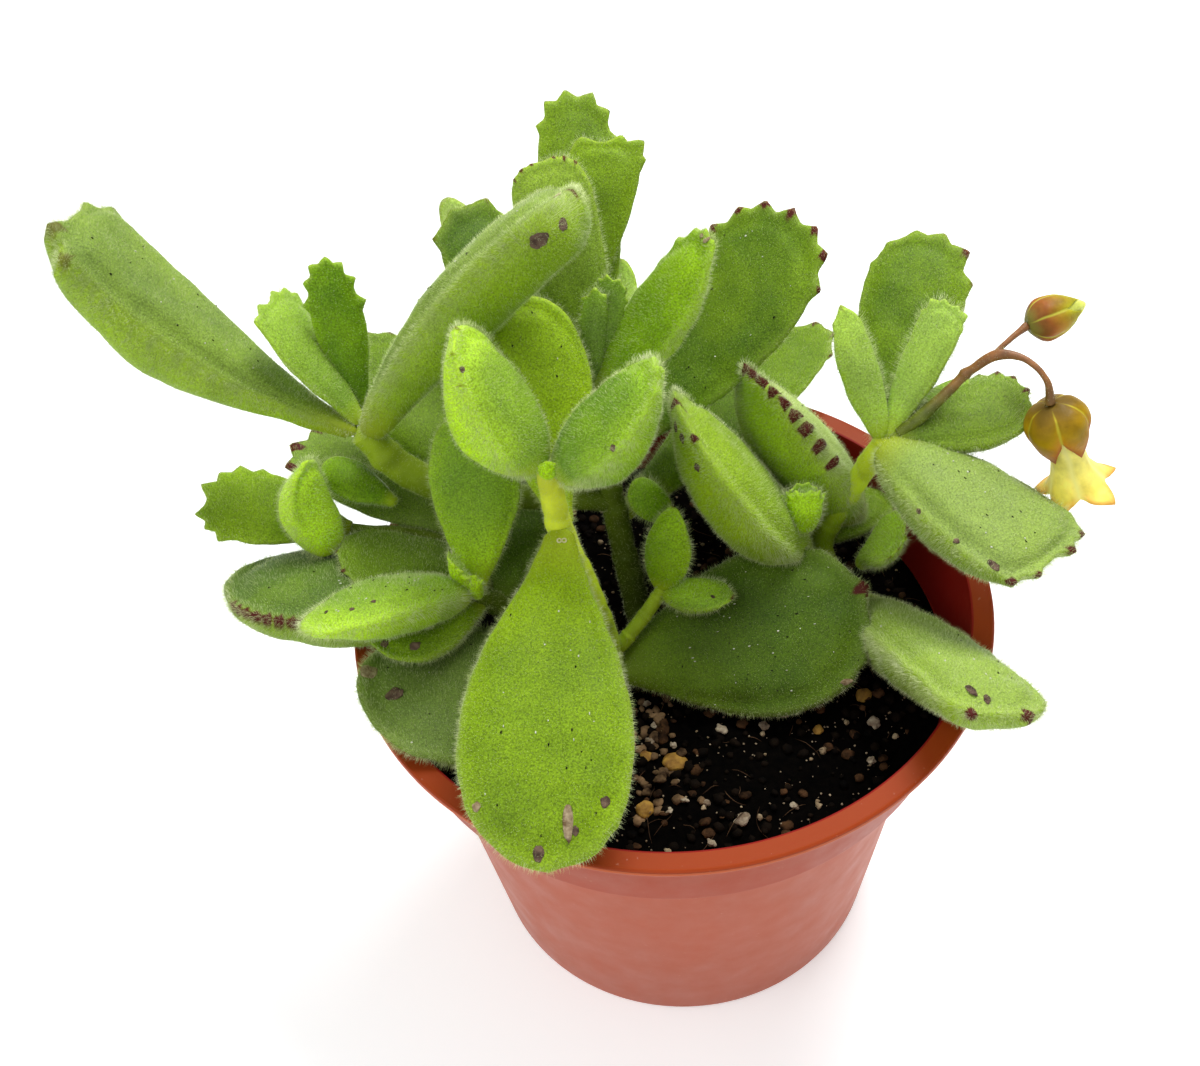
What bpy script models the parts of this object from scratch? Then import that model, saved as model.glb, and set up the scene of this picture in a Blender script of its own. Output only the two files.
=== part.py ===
"""Potted cotyledon (bear's paw): a nursery pot of soil with branching stems, fleshy toothed leaves and a flower.

Units are metres, +Z is up, and the pot stands on z = 0 with its axis on the Z axis.  Places and sizes in the
tables are written in millimetres and scaled once by MM.
"""
import math

import bmesh
import bpy
from mathutils import Vector

MM = 0.001
NAME = "potted_cotyledon"

# Pot, in millimetres: radii from its axis and heights above its base.
RIM_RADIUS = 52.5
RIM_HEIGHT = 75.3
RIM_WIDTH = 3.7
RIM_THICKNESS = 1.3
COLLAR_DROP = 16.5
COLLAR_TOP_RADIUS = 49.7
COLLAR_FOOT_RADIUS = 47.6
BODY_TOP_RADIUS = 43.9
BODY_FOOT_RADIUS = 37.0
WALL = 1.0
FLOOR_THICKNESS = 1.6
FOOT_NOTCHES = 6
FOOT_NOTCH = (14.0, 8.0, 0.6)
DRAIN_HOLE_RADIUS = 2.6
DRAIN_HOLE_RING = 27.0
TURN_STEPS = 48

# Soil, in millimetres: its surface, and the gap that touching pieces keep.
SOIL_TOP = 59.5
SOIL_MOUND = 1.2
CLEARANCE = 0.3
ROOT_DEPTH = 7.0

# Flower: its petals, which are as many as its sepals, and the sides of its round parts.
PETALS = 5
CUP_SIDES = 20

# Leaves: rings along the blade, as fractions of its length, closer together where the teeth are.
LEAF_SIDES = 8
LEAF_STATIONS = (0.0, 0.012, 0.07, 0.18, 0.31, 0.44, 0.56, 0.67, 0.76, 0.83, 0.885, 0.93, 0.965, 0.99, 1.0)
FIRST_TOOTH_RING = 8
ROOT_SHARE = 0.6
UPPER_SHARE = 0.38
PETIOLE_THICKNESS = 0.55
FOOT_ROUNDING = 0.8
TIP_ROUNDING = 0.45

# Colours: the pot, the soil, full-grown, young and shaded leaves, stems, the stalk, and the flower's two parts.
TERRACOTTA = (0.45, 0.10, 0.05)
SOIL_BLACK = (0.02, 0.013, 0.008)
GREEN = (0.16, 0.36, 0.05)
YOUNG_GREEN = (0.30, 0.52, 0.12)
SHADE_GREEN = (0.08, 0.20, 0.04)
STEM_GREEN = (0.30, 0.40, 0.06)
STALK_BROWN = (0.22, 0.12, 0.04)
CALYX_BROWN = (0.40, 0.22, 0.05)
PETAL_YELLOW = (0.80, 0.68, 0.22)


def start_collection(name):
    """Empty the file and return a collection for the parts and one for the cutters."""
    for old in list(bpy.data.objects):
        bpy.data.objects.remove(old, do_unlink=True)
    parts = bpy.data.collections.new(name)
    cutters = bpy.data.collections.new(name + "_cutters")
    bpy.context.scene.collection.children.link(parts)
    bpy.context.scene.collection.children.link(cutters)
    return parts, cutters


PARTS, CUTTERS = start_collection(NAME)


def paint(obj, colour, roughness, metallic=0.0):
    """Give an object a plain Principled BSDF of its own."""
    material = bpy.data.materials.new(obj.name + "_finish")
    material.use_nodes = True
    shader = material.node_tree.nodes["Principled BSDF"]
    shader.inputs["Base Color"].default_value = (*colour, 1.0)
    shader.inputs["Roughness"].default_value = roughness
    shader.inputs["Metallic"].default_value = metallic
    obj.data.materials.clear()
    obj.data.materials.append(material)


def mesh_object(name, mesh, collection=PARTS):
    """Put a mesh in the scene as a named object."""
    obj = bpy.data.objects.new(name, mesh)
    collection.objects.link(obj)
    return obj


def cylinder_cutter(name, radius, bottom, top, place, sides=16):
    """Return an upright cylinder that only cuts."""
    bm = bmesh.new()
    bmesh.ops.create_cone(bm, cap_ends=True, segments=sides, radius1=radius * MM, radius2=radius * MM,
                          depth=(top - bottom) * MM)
    mesh = bpy.data.meshes.new(name)
    bm.to_mesh(mesh)
    bm.free()
    cutter = mesh_object(name, mesh, CUTTERS)
    cutter.location = (place[0] * MM, place[1] * MM, 0.5 * (bottom + top) * MM)
    return as_cutter(cutter)


def as_cutter(obj):
    """Hide a cutter from renders and draw it as wire."""
    obj.hide_render = True
    obj.display_type = "WIRE"
    return obj


def boolean(obj, other, operation):
    """Add an exact Boolean with one other object."""
    modifier = obj.modifiers.new(operation.lower(), "BOOLEAN")
    modifier.operation = operation
    modifier.solver = "EXACT"
    modifier.object = other


def turned(name, profile):
    """Turn a profile of (radius, height) points in millimetres about the Z axis."""
    bm = bmesh.new()
    points = [bm.verts.new((radius * MM, 0.0, height * MM)) for radius, height in profile]
    for first, second in zip(points, points[1:]):
        bm.edges.new((first, second))
    mesh = bpy.data.meshes.new(name)
    bm.to_mesh(mesh)
    bm.free()
    obj = mesh_object(name, mesh)
    screw = obj.modifiers.new("turn", "SCREW")
    screw.steps = TURN_STEPS
    screw.render_steps = TURN_STEPS
    screw.use_merge_vertices = True
    screw.merge_threshold = 0.00001
    screw.use_normal_calculate = True
    return obj


def pot():
    """Model the tapered pot with its stepped collar, flat rim, foot notches and drain holes."""
    collar_foot = RIM_HEIGHT - COLLAR_DROP
    flange_foot = RIM_HEIGHT - RIM_THICKNESS
    rim_inside = RIM_RADIUS - RIM_WIDTH
    profile = (
        (0.0, 0.0), (BODY_FOOT_RADIUS, 0.0), (BODY_TOP_RADIUS, collar_foot), (COLLAR_FOOT_RADIUS, collar_foot),
        (COLLAR_TOP_RADIUS, flange_foot), (RIM_RADIUS, flange_foot), (RIM_RADIUS, RIM_HEIGHT - 0.3),
        (RIM_RADIUS - 0.3, RIM_HEIGHT), (rim_inside, RIM_HEIGHT), (COLLAR_FOOT_RADIUS - WALL, collar_foot + WALL),
        (BODY_TOP_RADIUS - WALL, collar_foot + WALL), (BODY_FOOT_RADIUS - WALL, FLOOR_THICKNESS),
        (0.0, FLOOR_THICKNESS),
    )
    body = turned("pot", profile)
    width, depth, height = FOOT_NOTCH
    for index in range(FOOT_NOTCHES):
        angle = math.radians(-90.0) + index * math.tau / FOOT_NOTCHES
        notch = notch_cutter(f"foot_notch_{index + 1}", width, depth, 2.0 * height)
        notch.location = (BODY_FOOT_RADIUS * MM * math.cos(angle), BODY_FOOT_RADIUS * MM * math.sin(angle), 0.0)
        notch.rotation_euler = (0.0, 0.0, angle + math.radians(90.0))
        boolean(body, notch, "DIFFERENCE")
        ring_angle = angle + math.pi / FOOT_NOTCHES
        place = (DRAIN_HOLE_RING * math.cos(ring_angle), DRAIN_HOLE_RING * math.sin(ring_angle))
        hole = cylinder_cutter(f"drain_hole_{index + 1}", DRAIN_HOLE_RADIUS, -1.0, FLOOR_THICKNESS + 1.0, place)
        boolean(body, hole, "DIFFERENCE")
    paint(body, TERRACOTTA, 0.45)


def notch_cutter(name, width, depth, height):
    """Return a box that cuts one foot notch."""
    bm = bmesh.new()
    bmesh.ops.create_cube(bm, size=1.0)
    bmesh.ops.scale(bm, vec=(width * MM, depth * MM, height * MM), verts=bm.verts)
    mesh = bpy.data.meshes.new(name)
    bm.to_mesh(mesh)
    bm.free()
    return as_cutter(mesh_object(name, mesh, CUTTERS))


def soil(rooted_stems):
    """Fill the pot with soil, with a hole where each stem goes down into it."""
    collar_foot = RIM_HEIGHT - COLLAR_DROP
    taper = (BODY_TOP_RADIUS - BODY_FOOT_RADIUS) / collar_foot
    foot = FLOOR_THICKNESS + CLEARANCE
    edge = COLLAR_FOOT_RADIUS - WALL - CLEARANCE
    ledge = collar_foot + WALL + CLEARANCE
    narrow = BODY_TOP_RADIUS - WALL - CLEARANCE - 0.1
    profile = (
        (0.0, foot), (narrow - taper * (collar_foot - foot), foot), (narrow, collar_foot), (narrow, ledge),
        (edge, ledge), (edge + 0.1, ledge + 0.6), (30.0, SOIL_TOP + 0.6 * SOIL_MOUND), (0.0, SOIL_TOP + SOIL_MOUND),
    )
    body = turned("soil", profile)
    for name, (x, y), radius in rooted_stems:
        cutter = cylinder_cutter(name + "_root_hole", radius + 2.0 * CLEARANCE, SOIL_TOP - ROOT_DEPTH - CLEARANCE,
                                 SOIL_TOP + 8.0, (x, y))
        boolean(body, cutter, "DIFFERENCE")
    paint(body, SOIL_BLACK, 0.95)


def tube(name, points, collection=PARTS, resolution=4):
    """Return a smooth round tube through (x, y, z, radius) points in millimetres, as a mesh with closed ends."""
    curve = bpy.data.curves.new(name, "CURVE")
    curve.dimensions = "3D"
    curve.bevel_depth = MM
    curve.bevel_resolution = 2
    curve.resolution_u = resolution
    curve.use_fill_caps = True
    spline = curve.splines.new("BEZIER")
    spline.bezier_points.add(len(points) - 1)
    for knot, (x, y, z, radius) in zip(spline.bezier_points, points):
        knot.co = (x * MM, y * MM, z * MM)
        knot.radius = radius
        knot.handle_left_type = "AUTO"
        knot.handle_right_type = "AUTO"
    drawn = bpy.data.objects.new(name + "_curve", curve)
    bpy.context.scene.collection.objects.link(drawn)
    bpy.context.view_layer.update()
    evaluated = drawn.evaluated_get(bpy.context.evaluated_depsgraph_get())
    mesh = bpy.data.meshes.new_from_object(evaluated)
    mesh.name = name
    bm = bmesh.new()
    bm.from_mesh(mesh)
    bmesh.ops.remove_doubles(bm, verts=bm.verts, dist=0.000001)
    bmesh.ops.recalc_face_normals(bm, faces=bm.faces)
    bm.to_mesh(mesh)
    bm.free()
    obj = mesh_object(name, mesh, collection)
    obj.matrix_world = drawn.matrix_world.copy()
    bpy.data.objects.remove(drawn, do_unlink=True)
    return obj


def stem(name, routes, colour=STEM_GREEN):
    """Model one stem, with its side shoots joined to it as they grew."""
    trunk = tube(name, routes[0])
    for index, route in enumerate(routes[1:], start=1):
        branch = as_cutter(tube(f"{name}_branch_{index}", route, CUTTERS))
        boolean(trunk, branch, "UNION")
    paint(trunk, colour, 0.6)


def blade_width(t, peak, petiole):
    """Return the half-width of a leaf at t along it, as a fraction of its greatest half-width."""
    if t <= 0.0 or t >= 1.0:
        return 0.0
    power = math.log(0.5) / math.log(peak)
    rounding = FOOT_ROUNDING if t < peak else TIP_ROUNDING
    blade = math.sin(math.pi * t ** power) ** rounding
    return math.hypot(blade, petiole * math.sqrt(1.0 - t))


def leaf(name, node, tip, width, thickness, roll=0.0, arch=0.0, gap=2.6, peak=0.66, petiole=0.24, teeth=0.05,
         colour=GREEN):
    """Shape a sphere into one fleshy leaf, flatter above and fuller below, with teeth round its tip.

    The leaf points from the middle of its stem node to its tip and starts a gap away from that middle.  Roll
    turns the face to the right of its heading, in degrees; arch lifts the middle of the blade along its face.
    """
    along = (Vector(tip) - Vector(node)).normalized()
    root = Vector(node) + along * gap
    length = (Vector(tip) - root).length
    facing = (Vector((0.0, 0.0, 1.0)) - along * along.z).normalized()
    turn = math.radians(roll)
    normal = facing * math.cos(turn) + along.cross(facing) * math.sin(turn)
    side = normal.cross(along)
    rings = len(LEAF_STATIONS) - 1
    bm = bmesh.new()
    bmesh.ops.create_uvsphere(bm, u_segments=LEAF_SIDES, v_segments=rings, radius=1.0)
    for vertex in bm.verts:
        ring = round(math.acos(max(-1.0, min(1.0, -vertex.co.z))) / math.pi * rings)
        t = LEAF_STATIONS[ring]
        around = math.atan2(vertex.co.y, vertex.co.x)
        half_width = 0.5 * width * blade_width(t, peak, petiole)
        if FIRST_TOOTH_RING <= ring < rings:
            half_width += 0.5 * width * teeth * (1.0 if ring % 2 == 0 else -1.0)
        fullness = math.sqrt(1.0 - t ** 4)
        belly = PETIOLE_THICKNESS + (1.0 - PETIOLE_THICKNESS) * math.sin(math.pi * t)
        share = UPPER_SHARE if math.sin(around) > 0.0 else 1.0 - UPPER_SHARE
        half_thickness = thickness * share * fullness * belly
        if ring in (0, rings):
            half_width = half_thickness = 0.0
        elif ring == 1:
            half_width *= ROOT_SHARE
            half_thickness *= ROOT_SHARE
        lift = 4.0 * t * (1.0 - t) * arch
        point = root + along * (length * t) + side * (half_width * math.cos(around))
        point += normal * (lift + half_thickness * math.sin(around))
        vertex.co = point * MM
    mesh = bpy.data.meshes.new(name)
    bm.to_mesh(mesh)
    bm.free()
    paint(mesh_object(name, mesh), colour, 0.55)


def lobed_cup(name, place, axis, profile, lobe_depth, spread, colour):
    """Shape a sphere into a thin cup whose lip is cut into five pointed lobes.

    profile holds (radius, distance along the axis, lobe share) from the outside of its foot, over the lip, to
    the inside of its foot.  A lobe share of 1 takes the whole lobe depth; spread widens the lobes at their tips,
    or draws them in where it is negative.
    """
    rings = len(profile) - 1
    turn = Vector((0.0, 0.0, 1.0)).rotation_difference(Vector(axis).normalized())
    bm = bmesh.new()
    bmesh.ops.create_uvsphere(bm, u_segments=CUP_SIDES, v_segments=rings, radius=1.0)
    for vertex in bm.verts:
        ring = round(math.acos(max(-1.0, min(1.0, -vertex.co.z))) / math.pi * rings)
        radius, distance, share = profile[ring]
        angle = math.atan2(vertex.co.y, vertex.co.x)
        lobe = share * (0.5 + 0.5 * math.cos(PETALS * angle))
        radius += lobe * spread
        spot = Vector((radius * math.cos(angle), radius * math.sin(angle), distance + lobe * lobe_depth))
        if ring in (0, rings):
            spot = Vector((0.0, 0.0, distance))
        vertex.co = (Vector(place) + turn @ spot) * MM
    mesh = bpy.data.meshes.new(name)
    bm.to_mesh(mesh)
    bm.free()
    paint(mesh_object(name, mesh), colour, 0.5)


# Stems: each row is (x, y, z, radius) from the root or the fork to the tip.
MAIN_ROOT = (-5.0, 8.0)
FRONT_ROOT = (-10.0, -6.0)
WEST_ROOT = (-17.0, 4.0)
RIGHT_ROOT = (30.0, 5.0)
STEM_FOOT = SOIL_TOP - ROOT_DEPTH

pot()
soil((("main", MAIN_ROOT, 2.3), ("front", FRONT_ROOT, 2.2), ("west", WEST_ROOT, 2.2), ("right", RIGHT_ROOT, 1.9)))

stem("main_stem", (
    ((*MAIN_ROOT, STEM_FOOT, 2.3), (*MAIN_ROOT, 62.0, 2.3), (-6.7, 11.5, 75.0, 2.1), (-8.2, 15.5, 91.0, 1.9),
     (-8.6, 18.0, 104.5, 1.7)),
    ((-7.8, 14.2, 83.5, 1.8), (-19.0, 12.5, 88.0, 2.2), (-31.0, 13.0, 89.0, 2.4), (-41.0, 14.5, 95.0, 2.5),
     (-46.5, 16.5, 102.5, 2.4)),
))
stem("front_stem", (
    ((*FRONT_ROOT, STEM_FOOT, 2.2), (*FRONT_ROOT, 62.0, 2.2), (-12.0, -5.5, 78.0, 2.0), (-16.0, -4.0, 95.0, 2.2),
     (-17.0, -4.0, 107.5, 1.8)),
    ((-10.4, -5.8, 68.0, 1.2), (-7.0, -4.5, 71.0, 1.25), (-3.5, -2.0, 74.0, 1.2), (-1.2, -0.3, 76.5, 1.1)),
))
stem("west_stem", (
    ((*WEST_ROOT, STEM_FOOT, 2.2), (*WEST_ROOT, 61.0, 2.2), (-24.0, 9.0, 70.0, 1.9), (-31.0, 11.5, 76.5, 1.8),
     (-42.0, 13.0, 81.5, 1.3), (-51.5, 12.5, 84.5, 1.1)),
    ((-17.5, 4.2, 63.0, 1.7), (-23.0, 2.0, 70.0, 1.9), (-28.0, 1.0, 75.0, 1.9), (-30.3, -0.7, 79.0, 1.8),
     (-31.0, -2.0, 82.5, 1.7)),
))
stem("right_stem", (
    ((*RIGHT_ROOT, STEM_FOOT, 1.9), (*RIGHT_ROOT, 61.0, 1.9), (28.5, 9.5, 67.0, 2.0), (28.0, 12.0, 72.0, 2.0),
     (32.0, 11.0, 84.0, 1.9), (36.2, 8.5, 97.0, 1.9)),
))

# Left shoot.
leaf("left_leaf_long", (-46.5, 16.5, 102), (-87.5, 29, 138), 19, 9.5)
leaf("left_leaf_arched", (-46.5, 16.5, 102), (-11, 15, 142), 18, 10.0, roll=2, arch=3)
leaf("left_leaf_young_west", (-46.2, 19.4, 102.8), (-56.5, 30, 119.5), 14, 4.0, roll=34, gap=2.4, colour=YOUNG_GREEN)
leaf("left_leaf_young_rear", (-46.5, 16.5, 102), (-48.5, 24, 131), 9, 3.0, gap=3.1, colour=YOUNG_GREEN)
leaf("left_leaf_hidden", (-30, 14, 90), (-48.5, 37, 105), 18, 5.0, gap=2.8, colour=SHADE_GREEN)
leaf("left_leaf_small", (-46.5, 16.5, 102), (-43, 22, 90), 7, 2.5, gap=4, colour=SHADE_GREEN)

# Top shoot, at the head of the main stem.
leaf("top_leaf_left", (-8.6, 18, 104), (-13.1, 39, 134), 14, 6.0, roll=-20)
leaf("top_leaf_rear", (-8.5, 17.3, 100), (-3.3, 49.5, 131), 15, 4.5, peak=0.82, petiole=0.16, gap=3)
leaf("top_leaf_highest", (-8.5, 16.7, 95), (-8, 61, 133), 14, 4.0, peak=0.75)
leaf("top_leaf_right", (-8.6, 18, 104), (9.7, 17, 132), 15, 6.0, roll=20, colour=YOUNG_GREEN)
leaf("top_leaf_bud_west", (-8.6, 18, 104), (-5.6, 21, 123), 6, 2.0, gap=4, colour=YOUNG_GREEN)
leaf("top_leaf_bud_east", (-8.6, 18, 104), (-2.4, 26, 121), 5, 2.0, colour=YOUNG_GREEN)
leaf("top_leaf_behind_front", (-8.2, 15, 92), (1.5, 20.5, 110.5), 6, 2.0, gap=3.9)
leaf("top_leaf_far_left", (-8.2, 15.2, 88), (-29.2, 48, 121), 19, 5.0)
leaf("top_leaf_far_rear", (-8, 14.5, 84), (-31, 57, 115), 15, 4.0)
leaf("top_leaf_far_small", (-6.5, 17, 97), (0, 41, 116), 7, 2.5, colour=YOUNG_GREEN)

# Back leaves.
leaf("back_leaf_large", (-8.3, 16, 93), (26.5, 42, 119), 27, 6.0, arch=-3)
leaf("back_leaf_low", (-7.3, 13.3, 80), (35, 54, 84.6), 15, 4.2, gap=2.4)

# Front shoot.
leaf("front_leaf_large", (-16, -4, 95), (-21.3, -54.3, 82.8), 25, 6.0, arch=3, peak=0.7, petiole=0.2)
leaf("front_leaf_rear", (-16, -4, 95), (-18.2, 25.5, 125.5), 21, 5.0, gap=3.2)
leaf("front_leaf_west", (-17, -4, 107), (-28, -3, 134.5), 14.5, 8.0, roll=-35, peak=0.55, gap=2, colour=YOUNG_GREEN)
leaf("front_leaf_east", (-17, -4, 107), (0, -10, 128.5), 14, 8.0, roll=35, peak=0.55, gap=2, colour=YOUNG_GREEN)
leaf("low_leaf_east", (-10.5, -6.5, 65), (31.5, -7.5, 75), 28, 5.0, roll=30, colour=SHADE_GREEN)
leaf("low_leaf_west", (-10.5, -6.5, 65), (-49.3, -21, 79.5), 28, 5.0, colour=SHADE_GREEN)
leaf("small_leaf_east", (-1.2, -0.3, 76), (9.5, -5.5, 79), 8, 5.0, peak=0.55, gap=1.6, colour=YOUNG_GREEN)
leaf("small_leaf_rear", (-1.2, -0.3, 76), (1.3, 3.8, 90), 8.5, 5.0, peak=0.55, gap=1.6, colour=YOUNG_GREEN)
leaf("small_leaf_hidden", (-4.3, 8.5, 67), (-1, 16, 78), 7, 3.0, gap=3.4, colour=YOUNG_GREEN)

# West shoots.
leaf("west_leaf_upright", (-31, -2, 82), (-28, 16, 102), 15, 5.0)
leaf("west_leaf_front", (-31, -2, 82), (-55.8, -18, 95), 12, 6.5)
leaf("west_leaf_under", (-30, -0.5, 77.2), (-48, -12, 83.8), 12.5, 4.5)
leaf("west_leaf_dark", (-28, 1, 75), (-22, 22, 83), 11, 4.0, colour=SHADE_GREEN)
leaf("west_leaf_large", (-28, 8.5, 73.5), (-72.8, -0.5, 84), 25, 5.0, arch=1.5)
leaf("west_leaf_middle", (-31.5, 9.5, 78), (-50, 1.3, 90.7), 15, 4.5, gap=2.4, colour=SHADE_GREEN)
leaf("west_leaf_shaded", (-31, 14, 78.5), (-61, 31, 87), 15, 4.5, gap=2.6, colour=SHADE_GREEN)
leaf("west_leaf_tip", (-51, 12.5, 84.5), (-75, 18.5, 90), 16, 4.0, gap=1.4)
leaf("west_leaf_fuzzy", (-51, 13, 85), (-54.5, 7, 100.5), 11, 8.0, peak=0.5, colour=YOUNG_GREEN)
leaf("west_leaf_small", (-41, 13.5, 82.5), (-56, 21, 93.5), 10, 3.5, colour=YOUNG_GREEN)

# Right shoots.
leaf("right_leaf_west", (27, 8.8, 68.5), (4, 12, 107), 16.5, 6.5, roll=-30, gap=2.5)
leaf("right_leaf_rear", (28.5, 14, 73), (19.5, 33, 95), 22, 7.0, roll=35, gap=2.4)
leaf("right_leaf_bud", (28, 11, 73), (21.3, 6.8, 90.3), 8, 3.0, gap=3, colour=YOUNG_GREEN)
leaf("right_leaf_small", (29, 8, 65.5), (40.5, 5, 82), 11, 3.5, colour=YOUNG_GREEN)
leaf("right_leaf_shaded", (28, 12, 71), (41, 23, 70), 9, 4.0, colour=SHADE_GREEN)
leaf("right_leaf_front", (31, 7, 65.5), (48, -38.5, 82.5), 17.5, 5.0, arch=3.5)

# Flowering shoot.
leaf("shoot_leaf_young_west", (36, 8.5, 96.5), (31, 18, 116), 9, 5.0, gap=2.4, colour=YOUNG_GREEN)
leaf("shoot_leaf_young_rear", (36, 8.5, 96.5), (49, 18, 115), 10, 5.0, colour=YOUNG_GREEN)
leaf("shoot_leaf_rear", (36, 8.5, 95.5), (49, 37.5, 114), 16.5, 5.0)
leaf("shoot_leaf_front", (36, 8.5, 96.5), (56.8, -22, 96.5), 20, 8.0, petiole=0.35)
leaf("shoot_leaf_east", (36, 8.5, 96.5), (59.8, 9.5, 98.5), 16, 6.0)
leaf("shoot_leaf_small", (37, 10.6, 97.3), (50.3, 14.6, 101.9), 4.2, 1.5, gap=3, colour=YOUNG_GREEN)

# Flower stalk, the hanging flower and the bud.
FORK = (52.0, 8.6, 112.0)
FLOWER_FOOT = (59.0, 2.0, 107.0)
FLOWER_AXIS = (0.36, -0.11, -0.92)
BUD_FOOT = (57.2, 12.0, 114.3)
BUD_AXIS = (0.97, 0.19, 0.18)

stem("flower_stalk", (
    ((38.3, 8.2, 98.3, 0.9), (42.0, 8.0, 102.3, 0.8), (47.3, 9.2, 107.8, 0.75), (*FORK, 0.75),
     (55.5, 6.3, 112.6, 0.6), (58.2, 3.5, 110.6, 0.6), (*FLOWER_FOOT, 0.6)),
    ((51.3, 8.9, 111.5, 0.5), (54.5, 10.6, 113.2, 0.5), (*BUD_FOOT, 0.5)),
), colour=STALK_BROWN)
CALYX_PROFILE = (
    (0.0, 0.0, 0.0), (1.1, 0.1, 0.0), (3.2, 1.0, 0.0), (4.6, 2.8, 0.0), (4.9, 4.8, 0.1), (4.6, 6.4, 0.6),
    (4.1, 7.0, 1.0), (3.6, 6.9, 1.0), (4.0, 5.8, 0.5), (4.2, 4.2, 0.0), (3.6, 2.8, 0.0), (0.0, 1.8, 0.0),
)
COROLLA_PROFILE = (
    (0.0, 2.2, 0.0), (2.2, 2.5, 0.0), (3.0, 5.0, 0.0), (2.6, 9.0, 0.0), (2.4, 13.0, 0.0), (2.8, 16.0, 0.3),
    (3.9, 17.4, 1.0), (3.5, 17.9, 1.0), (2.3, 16.2, 0.3), (1.9, 13.0, 0.0), (2.1, 9.0, 0.0), (0.0, 5.0, 0.0),
)
BUD_CALYX_PROFILE = (
    (0.0, 0.0, 0.0), (0.9, 0.1, 0.0), (2.4, 0.9, 0.0), (3.3, 2.4, 0.0), (3.3, 3.9, 0.1), (2.9, 4.8, 0.6),
    (2.4, 5.2, 1.0), (2.0, 5.1, 1.0), (2.4, 4.4, 0.5), (2.7, 3.4, 0.0), (2.3, 2.3, 0.0), (0.0, 1.5, 0.0),
)
BUD_PETAL_PROFILE = (
    (0.0, 1.8, 0.0), (1.3, 2.1, 0.0), (2.0, 3.6, 0.0), (1.6, 5.4, 0.0), (1.3, 7.2, 0.0), (0.7, 8.6, 0.0),
    (0.0, 9.2, 0.0),
)


def beyond(foot, axis, distance):
    """Return the point a distance along an axis from a foot."""
    return Vector(foot) + Vector(axis).normalized() * distance


for name, foot, axis, profile, lobe_depth, spread, colour in (
        ("flower_calyx", FLOWER_FOOT, FLOWER_AXIS, CALYX_PROFILE, 3.6, -0.9, CALYX_BROWN),
        ("flower_petals", FLOWER_FOOT, FLOWER_AXIS, COROLLA_PROFILE, 1.0, 1.4, PETAL_YELLOW),
        ("bud_calyx", BUD_FOOT, BUD_AXIS, BUD_CALYX_PROFILE, 2.6, -0.9, CALYX_BROWN),
        ("bud_petals", BUD_FOOT, BUD_AXIS, BUD_PETAL_PROFILE, 0.0, 0.0, PETAL_YELLOW)):
    lobed_cup(name, beyond(foot, axis, CLEARANCE), axis, profile, lobe_depth, spread, colour)
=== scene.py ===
"""The looks of a potted cotyledon: a fuzzy, fleshy-leaved succulent with a hanging flower, in a nursery pot.

The sections follow the plant as it is put together: the studio, the pot, the soil, the stems, the leaves
shoot by shoot, the flower, the scars and dirt on the leaves, and the down.  Sizes are in millimetres and
scaled once by MM, except in the studio and in the finishes, where they are in metres.
"""
import math

import bmesh
import bpy
import numpy as np
from mathutils import Matrix, Vector, noise


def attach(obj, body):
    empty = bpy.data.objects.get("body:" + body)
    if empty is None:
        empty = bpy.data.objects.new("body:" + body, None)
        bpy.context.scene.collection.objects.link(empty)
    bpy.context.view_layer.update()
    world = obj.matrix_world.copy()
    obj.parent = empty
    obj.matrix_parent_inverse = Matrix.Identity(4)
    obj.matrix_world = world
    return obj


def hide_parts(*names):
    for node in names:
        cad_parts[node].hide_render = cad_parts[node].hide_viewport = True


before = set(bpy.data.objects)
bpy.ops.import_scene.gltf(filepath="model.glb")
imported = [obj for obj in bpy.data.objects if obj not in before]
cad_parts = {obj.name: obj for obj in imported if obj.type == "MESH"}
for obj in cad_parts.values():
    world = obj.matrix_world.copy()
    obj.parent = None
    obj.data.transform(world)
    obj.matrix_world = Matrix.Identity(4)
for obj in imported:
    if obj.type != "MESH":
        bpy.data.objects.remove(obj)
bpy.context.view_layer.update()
MM = 0.001


# --- The studio: a white paper table under two large soft lamps and a pale even sky.  The camera looks down
# from above the front of the pot and leans a little to one side.

CAMERA_PLACE = Vector((-10.4, -153.7, 249.5))
CAMERA_AIM = Vector((-10.4, 15.1, 75.3))
CAMERA_ROLL = -5.67
SKY_STRENGTH = 0.50
LAMP_AIM = Vector((0.0, 0.0, 0.08))
TABLE_WIDTH, TABLE_DROP = 6.0, 0.0002

scene = bpy.context.scene
scene.view_settings.view_transform = "Standard"
camera_data = bpy.data.cameras.new("camera")
camera_data.lens = 42.0
camera_data.clip_start = 0.01
camera = bpy.data.objects.new("camera", camera_data)
scene.collection.objects.link(camera)
facing = (CAMERA_AIM - CAMERA_PLACE).to_track_quat("-Z", "Y").to_matrix().to_4x4()
camera.matrix_world = Matrix.Translation(CAMERA_PLACE * MM) @ facing @ Matrix.Rotation(
    math.radians(CAMERA_ROLL), 4, "Z")
scene.camera = camera

world = bpy.data.worlds.new("studio")
world.use_nodes = True
sky = world.node_tree.nodes["Background"]
sky.inputs["Color"].default_value = (1.0, 1.0, 1.0, 1.0)
sky.inputs["Strength"].default_value = SKY_STRENGTH
scene.world = world


def soft_lamp(name, place, size, power):
    """Hang a square softbox that looks at the plant."""
    data = bpy.data.lights.new(name, "AREA")
    data.shape = "SQUARE"
    data.size = size
    data.energy = power
    lamp = bpy.data.objects.new(name, data)
    scene.collection.objects.link(lamp)
    lamp.location = place
    lamp.rotation_euler = (LAMP_AIM - Vector(place)).to_track_quat("-Z", "Y").to_euler()


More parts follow.
